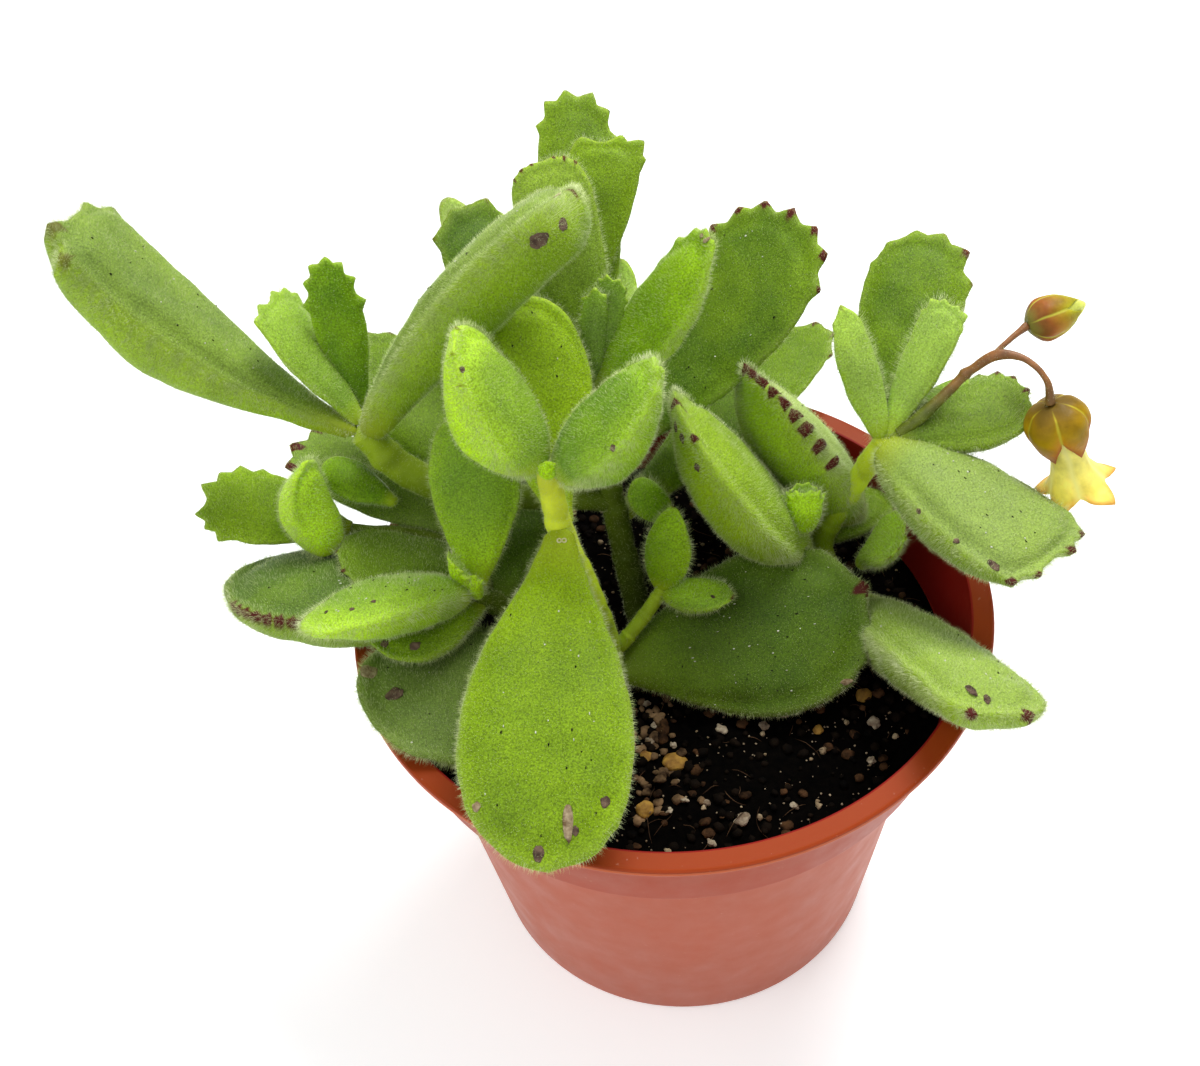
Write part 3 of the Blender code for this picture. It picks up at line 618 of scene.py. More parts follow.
def stem_finish(name, low, high, low_skin, middle_skin, high_skin):
    """Return a downy stem finish painted lighter from one height to another, in metres: painted shade below.
    """
    material, nodes, links, shader = new_finish(name)
    painted_height_shade = ramp(nodes, links, climb_share(nodes, links, low, high),
                 ((0.0, low_skin), (0.5, middle_skin), (1.0, high_skin)))
    blotches = ramp(nodes, links, mottle(nodes, links, 190.0, 5.0), ((0.38, grey(0.76)), (0.62, grey(1.08))))
    down = nodes.new("ShaderNodeTexVoronoi")
    down.inputs["Scale"].default_value = 3200.0
    links.new(nodes.new("ShaderNodeTexCoord").outputs["Object"], down.inputs["Vector"])
    down_dots = ramp(nodes, links, down.outputs["Distance"], ((0.05, grey(1.0)), (0.35, grey(0.0))))
    tinted = blend_in(nodes, links, 1.0, painted_height_shade, blotches, "MULTIPLY")
    links.new(blend_in(nodes, links, blend_in(nodes, links, 0.16, grey(0.0), down_dots), tinted,
                       (0.50, 0.56, 0.20)),
              shader.inputs["Base Color"])
    links.new(ramp(nodes, links, mottle(nodes, links, 700.0), ((0.3, grey(0.42)), (0.7, grey(0.62)))),
              shader.inputs["Roughness"])
    links.new(relief(nodes, links, down_dots, 0.3, 0.0001,
                     relief(nodes, links, mottle(nodes, links, 420.0, 3.0), 0.2, 0.0004)),
              shader.inputs["Normal"])
    soak(shader, 0.25, (0.9, 1.0, 0.25), 0.0015)
    shader.inputs["Specular IOR Level"].default_value = 0.2
    return material


stem_skins = {
    "shaded_stem": stem_finish("shaded_stem", 0.070, 0.103, (0.060, 0.090, 0.003), (0.12, 0.18, 0.005),
                               (0.30, 0.42, 0.012)),
    "sunny_stem": stem_finish("sunny_stem", 0.066, 0.106, (0.22, 0.34, 0.010), (0.54, 0.72, 0.022),
                              (0.72, 0.80, 0.045)),
}
downy_pieces = []
for name, routes in stem_routes.items():
    parts = []
    for index, route in enumerate(routes):
        path = smooth_path(route, BRANCH_RINGS if index else STEM_RINGS)
        swell = np.ones(len(path))
        for share in branch_nodes if index else stem_nodes[name]:
            spot = share / 100.0 * (len(path) - 1)
            swell += 0.10 * np.exp(-((np.arange(len(path)) - spot) / 1.8) ** 2)
            swell -= 0.05 * np.exp(-((np.arange(len(path)) - spot - 3.4) / 1.2) ** 2)
        points, faces = tube_mesh(path, STEM_SIDES, swell)
        parts.append((weathered(points, 0.22, 3.2, 4.0 + index), faces))
    stem = join_parts("grown_" + name, parts)
    stem.data.shade_smooth()
    stem.data.materials.append(stem_skins[stem_painted_light[name]])
    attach(stem, "root")
    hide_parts(name)
    downy_pieces.append((stem, Vector((0.0, 0.0, 1.0)), 0.8))


# --- The leaves: fleshy and velvety, spoon-shaped, flat or hollow above and round below, in crossed pairs.
# Each grows from its stem on a thick stalk, and its edge is a fine ridge with a few wine-red teeth round the
# tip.

LARGE_GRID, MIDDLE_GRID, SMALL_GRID = (36, 56), (26, 40), (18, 26)
LARGE_WIDTH, MIDDLE_WIDTH = 13, 7.5
TIP_ROW = 0.56
# The lower side gets a tenth of the down and its painted sheen.
LOWER_DOWN_SHEEN = 0.1
leaf_frames = {}


def read_places(mesh):
    """Return a mesh's points as an array, in metres."""
    places = np.empty(3 * len(mesh.vertices), np.float32)
    mesh.vertices.foreach_get("co", places)
    return places.reshape(-1, 3).astype(float)


def write_places(mesh, places):
    """Move a mesh's points to places in millimetres."""
    mesh.vertices.foreach_set("co", (places * MM).astype(np.float32).ravel())


def paint_tone(mesh, *masks):
    """Keep four masks, one value each for every point, in the mesh's tone attribute."""
    tone = mesh.color_attributes.new(name="tone", type="FLOAT_COLOR", domain="POINT")
    tone.data.foreach_set("color", np.column_stack(masks).astype(np.float32).ravel())


def smooth_step(low, high, value):
    """Rise smoothly from 0 at low to 1 at high."""
    share = np.clip((value - low) / (high - low), 0.0, 1.0)
    return share * share * (3.0 - 2.0 * share)


def signed_power(value, power):
    """Raise a number to a power and keep its sign."""
    return np.sign(value) * np.abs(value) ** power


def leaf_sheet(u, v, upper_side, length, width, thickness, habit):
    """Shape one side of a leaf; u runs across it from -1 to 1 and v along it from 0 to 1.

    Return how far each point lies across, along and above the leaf's axis, and the tooth, edge and
    painted-glow masks.  Up to the tip row the rows run straight across; beyond it they bend round the widest
    place to close the tip.
    """
    peak, petiole, blunt = habit["peak"], habit["petiole"], habit["blunt"]
    reach = np.clip((v - TIP_ROW) / (1.0 - TIP_ROW), 0.0, 1.0)
    foot = v < TIP_ROW
    run = np.clip(v / TIP_ROW, 0.0, 1.0)
    closing = np.sqrt(np.clip(1.0 - (1.0 - np.clip(run / 0.04, 0.0, 1.0)) ** 2, 0.0, 1.0))
    widening = petiole + (1.0 - petiole) * np.sin(0.5 * math.pi * run) ** habit["taper"]
    widening *= 0.4 + 0.6 * closing
    size_u = np.abs(u)
    safe_u, safe_reach = np.maximum(size_u, 1e-9), np.maximum(reach, 1e-9)
    theta = np.radians(np.where(size_u >= reach, np.sign(u) * (90.0 - 45.0 * reach / safe_u),
                                45.0 * u / safe_reach))
    radius = np.where(foot, size_u, np.maximum(size_u, reach))
    half = 0.5 * width

    def margin(angle):
        """Return the leaf's outline round its tip at an angle from the tip."""
        return (half * signed_power(np.sin(angle), blunt),
                peak * length + (1.0 - peak) * length * signed_power(np.cos(angle), blunt))

    edge_x, edge_y = margin(theta)
    x = np.where(foot, u * half * widening, radius * edge_x)
    y = np.where(foot, run * peak * length, peak * length + radius * (edge_y - peak * length))

    # The teeth push the edge outwards, square to the outline.
    ahead_x, ahead_y = margin(np.clip(theta + 0.02, -math.pi / 2, math.pi / 2))
    back_x, back_y = margin(np.clip(theta - 0.02, -math.pi / 2, math.pi / 2))
    out_x, out_y = back_y - ahead_y, ahead_x - back_x
    size = np.maximum(np.hypot(out_x, out_y), 1e-9)
    point = np.zeros_like(u)
    for angle, reach_out in ((tooth, 1.0) if isinstance(tooth, (int, float)) else tooth
                             for tooth in habit["teeth"]):
        tooth_x, tooth_y = margin(np.array(math.radians(max(-89.9, min(89.9, angle)))))
        away = np.hypot(edge_x - tooth_x, edge_y - tooth_y) / (habit["tooth_width"] * reach_out ** 0.5)
        point = np.maximum(point, reach_out * np.clip(1.0 - away, 0.0, 1.0) ** 1.25)
    point = np.where(foot, 0.0, point)
    push = habit["tooth"] * point * smooth_step(0.80, 1.0, radius)
    x, y = x + push * out_x / size, y + push * out_y / size

    # The flesh is full in the middle and thins to a fine ridge at the edge.
    t = y / length
    fullness = 0.40 + 0.60 * np.sin(math.pi * np.clip(t, 0.0, 1.0) ** 0.85) ** 0.8
    fullness = np.where(t > 0.5, np.maximum(fullness, habit["club"] + (1.0 - habit["club"]) * (1.0 - t)),
                        fullness)
    fullness = fullness * closing * (1.0 - habit["slim"] * (1.0 - smooth_step(0.1, 0.75, t)))
    round_off = np.clip(radius, 0.0, 1.0)
    if upper_side:
        height = thickness * fullness * habit["share"] * (1.0 - round_off ** habit["ridge"]) ** 0.8
        height -= (habit["groove"] * thickness * np.exp(-((radius - 0.84) / 0.08) ** 2)
                   * smooth_step(0.1, 0.4, t) * (1.0 - round_off ** 24))
    else:
        height = -thickness * fullness * (1.0 - habit["share"]) * (1.0 - round_off ** habit["swell"]) ** 0.58

    # The whole blade is arched, cupped and swayed.
    lift = 4.0 * t * (1.0 - t) * habit["arch"] + habit["cup"] * (x / half) ** 2
    lift = lift + habit["heel"] * np.clip(1.0 - t / 0.16, 0.0, 1.0) ** 2
    x = x + 4.0 * t * (1.0 - t) * habit["sway"]

    # The masks darken the teeth, and paint light on the belly, the edge and the stalk: a painted glow for
    # light shining through the flesh, and painted light where the stalk is lit.
    fading = point - (5.0 if upper_side else 16.0) * (1.0 - radius)
    tip_mask = smooth_step(habit["dark_from"], habit["dark_from"] + 0.3, fading)
    edge_glow = habit["edge_glow"] * smooth_step(0.15, 0.4, t)
    if upper_side:
        glow = edge_glow * smooth_step(0.55, 0.95, radius)
    else:
        glow = np.maximum(habit["belly"], edge_glow * smooth_step(0.3, 0.9, radius))
    glow = glow + habit["base"] * smooth_step(0.5, 0.12, t)
    return x, y, height + lift, tip_mask, smooth_step(0.88, 1.0, radius), glow


usual_habit = dict(roll=0.0, arch=0.0, cup=0.0, sway=0.0, peak=0.64, petiole=0.22, taper=1.3, blunt=0.92,
                   swell=2.2, share=0.38, ridge=3.0, groove=0.06, teeth=(-62, -38, -14, 12, 36, 60),
                   tooth=0.6, tooth_width=2.0, light=0.5, red=0.6, down=1.0, heel=0.0, dark_from=0.55,
                   belly=0.15, edge_glow=0.08, base=0.0, down_sheen=0.0, club=0.55, slim=0.0, stands_for=True)


def grow_leaf(name, node, tip, width, thickness, finish, **own):
    """Grow one leaf from a grid for its upper side and a grid for its lower side, joined along its edge.

    Node and tip are places, and what is its own replaces the usual habit.  Roll turns the face to the right
    of its heading, in degrees; share is how much of the thickness lies above the edge; arch and cup bend it
    towards its face.  A tooth is its angle from the tip, left positive, or that and its size.  Light is how
    bright a green the leaf is, partly its own tone and partly painted light and shade for where it sits, and
    belly, edge_glow and base how much a painted glow brightens it below, along its edge and at its stalk.
    The down_sheen is how much its white down and a painted sheen grey its upper face; club keeps it thick to
    the tip and slim thins it at the stalk.  Stands_for says that the CAD has a solid for this leaf.
    """
    habit = {**usual_habit, **own}
    along = (Vector(tip) - Vector(node)).normalized()
    root = Vector(node) + along * 0.5
    length = (Vector(tip) - root).length
    facing = (Vector((0.0, 0.0, 1.0)) - along * along.z).normalized()
    turn = math.radians(habit["roll"])
    normal = facing * math.cos(turn) + along.cross(facing) * math.sin(turn)
    side = normal.cross(along)
    columns, rows = LARGE_GRID if width > LARGE_WIDTH else MIDDLE_GRID if width > MIDDLE_WIDTH else SMALL_GRID
    sheets = []
    for upper_side in (True, False):
        deselect()
        bpy.ops.mesh.primitive_grid_add(x_subdivisions=columns, y_subdivisions=rows, size=2.0)
        sheet = bpy.context.active_object
        mesh = sheet.data
        places = np.round(read_places(mesh), 5)
        x, y, height, tooth_mask, edge, glow = leaf_sheet(
            places[:, 0], 0.5 + 0.5 * places[:, 1], upper_side, length, width, thickness, habit)
        spots = (np.array(root) + np.outer(x, side) + np.outer(y, along) + np.outer(height, normal))
        spots = weathered(spots, 0.28 * min(1.0, thickness / 5.0), 4.0, float(len(leaf_frames)))
        spots = weathered(spots, 0.06, 1.1, 50.0 + len(leaf_frames))
        write_places(mesh, spots)
        layer = mesh.uv_layers.active or mesh.uv_layers.new(name="UVMap")
        corner = np.empty(len(mesh.loops), np.int32)
        mesh.loops.foreach_get("vertex_index", corner)
        chart = np.column_stack([0.5 + x / width, y / length])[corner]
        layer.data.foreach_set("uv", chart.astype(np.float32).ravel())
        # Blue keeps the down and its painted sheen; alpha keeps the leaf's tone with its painted light, shade
        # and glow.
        down_sheen = np.full_like(x, habit["down_sheen"] * (1.0 if upper_side else LOWER_DOWN_SHEEN))
        paint_tone(mesh, tooth_mask * habit["red"], edge, down_sheen, np.clip(habit["light"] + glow, 0.0, 1.0))
        if not upper_side:
            mesh.flip_normals()
        sheets.append(sheet)
    deselect()
    for sheet in sheets:
        sheet.select_set(True)
    bpy.context.view_layer.objects.active = sheets[0]
    bpy.ops.object.join()
    leaf = bpy.context.active_object
    leaf.name = "grown_" + name
    face_outwards(leaf, 0.000002)
    leaf.data.shade_smooth()
    leaf.data.materials.append(finish)
    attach(leaf, "root")
    if habit["stands_for"]:
        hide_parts(name)
    leaf_frames[name] = (leaf, root, along, normal, side, length, width)
    downy_pieces.append((leaf, along, habit["down"]))
    return leaf


velvet = bpy.data.node_groups.new("velvet_skin", "ShaderNodeTree")
for direction, name, kind in (
        ("INPUT", "Place", "Vector"), ("INPUT", "Tooth", "Float"), ("INPUT", "Edge", "Float"),
        ("INPUT", "Down_Sheen", "Float"), ("INPUT", "Light", "Float"), ("INPUT", "Along", "Float"),
        ("INPUT", "Deep", "Color"), ("INPUT", "Bright", "Color"), ("INPUT", "Down", "Color"),
        ("INPUT", "Stalk", "Color"), ("OUTPUT", "Colour", "Color"), ("OUTPUT", "Height", "Float"),
        ("OUTPUT", "Roughness", "Float")):
    velvet.interface.new_socket(name=name, in_out=direction, socket_type="NodeSocket" + kind)
DOWN_SHEEN_COLOUR, WINE_RED = (0.46, 0.53, 0.25), (0.075, 0.012, 0.008)
nodes, links = velvet.nodes, velvet.links
given, made = nodes.new("NodeGroupInput"), nodes.new("NodeGroupOutput")
cloud = noise_at(nodes, links, given.outputs["Place"], 110.0, 4.0)
cloud_push = combine(nodes, links, combine(nodes, links, cloud, 0.5, "SUBTRACT"), 0.7, "MULTIPLY")
# Light brings each leaf's own tone together with its painted light, painted shade and painted glow.
level = combine(nodes, links, given.outputs["Light"], cloud_push, "ADD", True)
skin = blend_in(nodes, links, level, given.outputs["Deep"], given.outputs["Bright"])
grain = noise_at(nodes, links, given.outputs["Place"], 3600.0, 3.0, 0.6)
skin = blend_in(nodes, links, 1.0, skin, ramp(nodes, links, grain, ((0.34, grey(0.56)), (0.66, grey(1.38)))),
                "MULTIPLY")
cells = nodes.new("ShaderNodeTexVoronoi")
cells.inputs["Scale"].default_value = 2700.0
links.new(given.outputs["Place"], cells.inputs["Vector"])
dots = ramp(nodes, links, cells.outputs["Distance"], ((0.08, grey(1.0)), (0.34, grey(0.0))))
down_share = combine(nodes, links, combine(nodes, links, dots, 0.20, "MULTIPLY"),
                    combine(nodes, links, given.outputs["Edge"], 0.22, "MULTIPLY"), "ADD", True)
skin = blend_in(nodes, links, down_share, skin, given.outputs["Down"])
# The down and a painted sheen grey the face: the pale sheen seen across the velvet is painted into the
# colour.
down_sheen = combine(nodes, links, given.outputs["Down_Sheen"], combine(nodes, links, grain, 0.64, "MULTIPLY"),
               "MULTIPLY", True)
skin = blend_in(nodes, links, down_sheen, skin, DOWN_SHEEN_COLOUR)
stalk_share = ramp(nodes, links, given.outputs["Along"], ((0.03, grey(0.75)), (0.20, grey(0.0))))
skin = blend_in(nodes, links, stalk_share, skin, given.outputs["Stalk"])
wine = ramp(nodes, links, given.outputs["Tooth"], ((0.10, grey(0.0)), (0.45, grey(1.0))))
skin = blend_in(nodes, links, wine, skin, WINE_RED)
links.new(skin, made.inputs["Colour"])
links.new(combine(nodes, links, combine(nodes, links, dots, 0.6, "MULTIPLY"), grain), made.inputs["Height"])
links.new(combine(nodes, links, 0.42, combine(nodes, links, grain, 0.25, "MULTIPLY")),
          made.inputs["Roughness"])


def velvet_finish(name, deep, bright, down, stalk):
    """Return a leaf finish of its own greens over the shared velvet."""
    material, nodes, links, shader = new_finish(name)
    skin = nodes.new("ShaderNodeGroup")
    skin.node_tree = velvet
    for socket, colour in (("Deep", deep), ("Bright", bright), ("Down", down), ("Stalk", stalk)):
        skin.inputs[socket].default_value = (*colour, 1.0)
    links.new(nodes.new("ShaderNodeTexCoord").outputs["Object"], skin.inputs["Place"])
    tone = nodes.new("ShaderNodeAttribute")
    tone.attribute_name = "tone"
    masks = nodes.new("ShaderNodeSeparateColor")
    links.new(tone.outputs["Color"], masks.inputs["Color"])
    for output, name in (("Red", "Tooth"), ("Green", "Edge"), ("Blue", "Down_Sheen")):
        links.new(masks.outputs[output], skin.inputs[name])
    links.new(tone.outputs["Alpha"], skin.inputs["Light"])
    chart = nodes.new("ShaderNodeUVMap")
    chart.uv_map = "UVMap"
    chart_axes = nodes.new("ShaderNodeSeparateXYZ")
    links.new(chart.outputs["UV"], chart_axes.inputs[0])
    links.new(chart_axes.outputs["Y"], skin.inputs["Along"])
    links.new(skin.outputs["Colour"], shader.inputs["Base Color"])
    links.new(skin.outputs["Roughness"], shader.inputs["Roughness"])
    links.new(relief(nodes, links, skin.outputs["Height"], 0.35, 0.00015), shader.inputs["Normal"])
    soak(shader, 0.2, (0.8, 1.0, 0.2), 0.0018)
    shader.inputs["Sheen Weight"].default_value = 0.30
    shader.inputs["Sheen Roughness"].default_value = 0.15
    shader.inputs["Sheen Tint"].default_value = (0.90, 1.0, 0.68, 1.0)
    shader.inputs["Specular IOR Level"].default_value = 0.12
    return material


grown_skin = velvet_finish("grown_leaf_skin", (0.060, 0.125, 0.006), (0.32, 0.50, 0.008), (0.44, 0.58, 0.09),
                           (0.30, 0.36, 0.012))
young_skin = velvet_finish("young_leaf_skin", (0.11, 0.23, 0.008), (0.48, 0.78, 0.004), (0.54, 0.72, 0.12),
                           (0.40, 0.52, 0.015))
# The shaded skin is a darker copy of the grown one: painted shade for the leaves that sit deep in the plant.
shaded_skin = velvet_finish("shaded_leaf_skin", (0.030, 0.070, 0.005), (0.15, 0.25, 0.010),
                            (0.32, 0.42, 0.10), (0.12, 0.18, 0.008))


def grow_pairs(rows):
    """Grow each leaf of a shoot; a row is its name, node, tip, width, thickness, finish and habits."""
    for name, node, tip, width, thickness, finish, habits in rows:
        grow_leaf(name, node, tip, width, thickness, finish, **habits)


# --- The left shoot: a long leaf reaching far out to the left, its arched partner crossing the middle, and a
# young downy pair with toothed tips between them, with small older leaves in the shade below.

LEFT_TOP = (-46.5, 16.5, 102)
grow_pairs((
    ("left_leaf_long", LEFT_TOP, (-84, 31, 137.6), 19.5, 14.5, grown_skin,
     dict(roll=20, arch=-3.5, petiole=0.12, peak=0.82, blunt=0.66, taper=1.25, slim=0.62, club=0.75,
          teeth=((-58, 1.1), (-20, 0.6), (28, 1.5), (64, 1.3)), tooth=1.6, tooth_width=2.4, light=0.30,
          red=0.3, share=0.28, ridge=4.0, swell=3.6, groove=0.05, belly=0.32, edge_glow=0.0, dark_from=0.5,
          base=0.15, down_sheen=0.42)),
    ("left_leaf_arched", LEFT_TOP, (-10.6, 15, 143), 18.6, 12.4, grown_skin,
     dict(roll=-27, arch=3, petiole=0.24, peak=0.84, blunt=0.62, taper=0.95, teeth=((5, 1.2),), tooth=0.5,
          tooth_width=1.2, light=0.32, red=0.7, share=0.28, swell=3.0, belly=0.24, club=0.85, slim=0.35,
          edge_glow=0.0, down_sheen=0.55)),
    ("left_leaf_young_west", (-46.4, 17.5, 102.6), (-57.5, 26, 122.5), 12.4, 4, young_skin,
     dict(roll=20, teeth=(-62, -36, -8, 20, 50), tooth=1.2, blunt=0.7, peak=0.76, taper=1.7, light=0.28,
          red=0.0, down=1.5, down_sheen=0.45)),
    ("left_leaf_young_rear", (-46.4, 19.6, 100.5), (-48.5, 28, 127), 8.2, 3, young_skin,
     dict(teeth=(-76, -52, -28, -4, 20, 44, 68), tooth=1.1, tooth_width=1.4, taper=1.8, light=0.06, red=0.1,
          down=0.9)),
    ("left_leaf_hidden", (-30, 14, 90), (-48.5, 37, 105), 18, 5, shaded_skin, dict(light=0.9)),
    ("left_leaf_small", LEFT_TOP, (-43, 22, 90), 7, 2.5, shaded_skin, dict(light=0.3)),
))


# --- The top shoot: the tallest stem, with its leaves standing up behind everything else, the highest ones
# flat and toothed, and two tiny ones still folded round its growing tip.

TOP_TIP = (-8.6, 18, 104)
grow_pairs((
    ("top_leaf_left", TOP_TIP, (-13.4, 39, 134.5), 13, 6, grown_skin,
     dict(roll=-20, blunt=0.66, peak=0.74, teeth=(-40, -22, -6, 10, 26, 44), tooth=0.2, tooth_width=0.9,
          petiole=0.3, light=0.50, red=0.9, down_sheen=0.3, base=0.35)),
    ("top_leaf_rear", (-8.5, 17.3, 100), (-3.3, 49.5, 130.5), 13, 4.5, grown_skin,
     dict(peak=0.86, petiole=0.14, blunt=0.68, taper=5.0, sway=1.8, tooth=1.5, tooth_width=2.4, light=0.36,
          teeth=((-72, 0.7), (-46, 1.2), (-12, 0.8), (26, 1.0)), red=0.1, down=0.7)),
    ("top_leaf_highest", (-8.5, 16.7, 95), (-8, 61, 132.6), 13.4, 4, grown_skin,
     dict(peak=0.74, blunt=0.80, teeth=((-66, 0.6), (-44, 1.0), (-20, 1.1), (4, 1.1), (28, 1.1), (52, 0.7)),
          tooth=1.4, tooth_width=1.8, taper=2.0, light=0.26, red=0.1, down=0.6)),
    ("top_leaf_right", TOP_TIP, (9.7, 17, 132), 14, 7.5, young_skin,
     dict(roll=14, teeth=((-6, 0.7), 14, 34, 54, (74, 0.6)), tooth=0.9, tooth_width=1.6, light=0.24, red=0.1,
          down=1.2, peak=0.55, taper=0.9, belly=0.2, edge_glow=0.0)),
    ("top_leaf_bud_west", TOP_TIP, (-7.5, 21, 122.0), 4.6, 2.2, young_skin,
     dict(light=0.10, tooth=0.7, tooth_width=0.9, red=0.0, roll=30, teeth=(-80, -40, 0, 40, 80), down=1.2,
          cup=-0.6, down_sheen=0.5, edge_glow=0.2)),
    ("top_leaf_bud_east", TOP_TIP, (-4.6, 23, 122.2), 5.4, 2.2, young_skin,
     dict(light=0.06, tooth=0.8, tooth_width=1.0, red=0.1, teeth=(-75, -45, -15, 15, 45, 75), blunt=0.7,
          peak=0.78, taper=3.0, petiole=0.15, down=1.2, down_sheen=0.45, edge_glow=0.2)),
    ("top_leaf_behind_front", (-8.2, 15, 92), (1.5, 20.5, 110.5), 6, 2, grown_skin, dict(light=0.7, red=0.0)),
    ("top_leaf_far_left", (-8.2, 15.2, 88), (-28, 48.5, 121.5), 17, 5, grown_skin,
     dict(light=0.02, tooth=1.3, tooth_width=2.4, red=0.35, teeth=(72, 40, (8, 0.5), -24, -56), blunt=0.8,
          down=0.7)),
    ("top_leaf_far_rear", (-8, 14.5, 84), (-31.2, 57, 118.2), 9.5, 4, grown_skin,
     dict(light=0.6, roll=-20, teeth=(), down=1.2, down_sheen=0.8)),
    ("top_leaf_far_small", (-6.5, 17, 97), (-2.6, 41, 113.5), 7, 2.5, young_skin,
     dict(light=0.5, teeth=(), down_sheen=0.9)),
))


# --- The two leaves at the back: a broad flat one that stands up like a fan with seven dark teeth, and a
# longer, narrower one that reaches out low behind it.  Both grow from the tallest stem.

grow_pairs((
    ("back_leaf_large", (-8.3, 16, 93), (25.8, 42, 117.6), 24.5, 6, grown_skin,
     dict(arch=-3, peak=0.70, blunt=0.82, teeth=(66, 43, 21, 0, -21, -43, (-68, 0.8)), tooth=1.7,
          tooth_width=2.7, light=0.14, red=0.9, down=0.35, dark_from=0.45)),
    ("back_leaf_low", (-7.3, 13.3, 80), (35, 54, 84.6), 15, 4.2, grown_skin,
     dict(teeth=(66, 38, 10, -18, -44), tooth=0.9, light=0.25, red=0.8)),
))


# --- The front shoot: the largest leaf hangs towards the viewer over the rim, two egg-shaped young leaves
# stand on the tip, one broad leaf stands behind, and two old leaves spread low over the soil, painted dark
# as painted shade.

grow_pairs((
    ("front_leaf_large", (-16.2, -4, 95), (-21.9, -54.3, 82.8), 25, 6, grown_skin,
     dict(arch=3, peak=0.68, petiole=0.18, blunt=0.95, taper=1.3, teeth=((50, 0.8), (0, 0.8)), tooth=0.5,
          light=0.38, red=0.1, ridge=4.0, heel=3.8, down=0.8, base=0.5, sway=-1.0)),
    ("front_leaf_rear", (-16, -3, 95), (-19.8, 22.5, 121.5), 18.5, 5, grown_skin,
     dict(light=0.72, red=0.2, down=0.9, petiole=0.2, taper=1.9, teeth=(), base=0.3)),
    ("front_leaf_west", (-18.4, -4, 109.8), (-27.0, -3, 135), 13.4, 10.5, young_skin,
     dict(roll=-10, peak=0.46, petiole=0.16, taper=0.55, teeth=((-4, 1.2), 24, 50), tooth=0.5,
          tooth_width=1.0, light=0.34, red=0.35, down=1.2, ridge=2.4, share=0.34, belly=0.34, edge_glow=0.50,
          swell=3.0, slim=-0.25, down_sheen=0.35)),
    ("front_leaf_east", (-15.4, -4.6, 109.0), (-0.6, -9.6, 130.2), 13.8, 9.5, young_skin,
     dict(roll=16, peak=0.5, petiole=0.16, taper=0.55, teeth=(-84, -64, -44, -20, (2, 1.5), 24), tooth=0.7,
          tooth_width=1.0, light=0.03, red=0.12, down=1.2, ridge=2.4, share=0.36, belly=0.26, edge_glow=0.34,
          swell=3.0, slim=-0.25, down_sheen=0.15)),
    ("front_bud", (-17, -5.4, 109.5), (-17, -7.4, 114.0), 3.0, 2.4, young_skin,
     dict(light=0.65, teeth=(-50, 0, 50), tooth=0.4, tooth_width=0.6, peak=0.5, petiole=0.5, red=0.3,
          down=0.8, stands_for=False)),
    ("low_leaf_east", (-10.5, -6.5, 65), (31.5, -7.5, 75), 28, 6, shaded_skin,
     dict(roll=30, teeth=((50, 0.4), (12, 1.3), (-12, 0.5), (-34, 0.5), (-52, 0.4)), tooth=1.2,
          tooth_width=2.6, light=0.29, red=0.9, down=0.7, dark_from=0.5, base=0.45)),
    ("low_leaf_west", (-10.5, -6.5, 65), (-49.3, -21, 79.5), 30, 9, shaded_skin,
     dict(teeth=(), light=0.48, red=0.4, down=1.3, swell=3.2, peak=0.58, down_sheen=0.35)),
    ("small_leaf_east", (-1.2, -0.3, 76), (9.5, -5.5, 79), 7.4, 5, young_skin,
     dict(peak=0.5, petiole=0.3, taper=0.6, teeth=((0, 1.0),), light=0.32, down=1.5, edge_glow=-0.1,
          down_sheen=0.15)),
    ("small_leaf_rear", (-1.2, -0.3, 76), (1.6, 4.0, 90.5), 8.0, 5, young_skin,
     dict(peak=0.46, petiole=0.3, taper=0.7, blunt=1.15, teeth=((0, 0.8),), light=0.3, down=1.3)),
    ("small_leaf_hidden", (1.4, 9, 84.5), (-4.8, 9.5, 91), 6.5, 4.5, young_skin,
     dict(peak=0.5, petiole=0.5, taper=0.6, roll=-30, teeth=(), light=0.15, down=1.5)),
))


# --- The west shoot: a low branch out to the left over the rim, crowded with leaves of every age, from a
# large one with a dark worn edge to an egg-shaped downy one that points straight at the viewer.

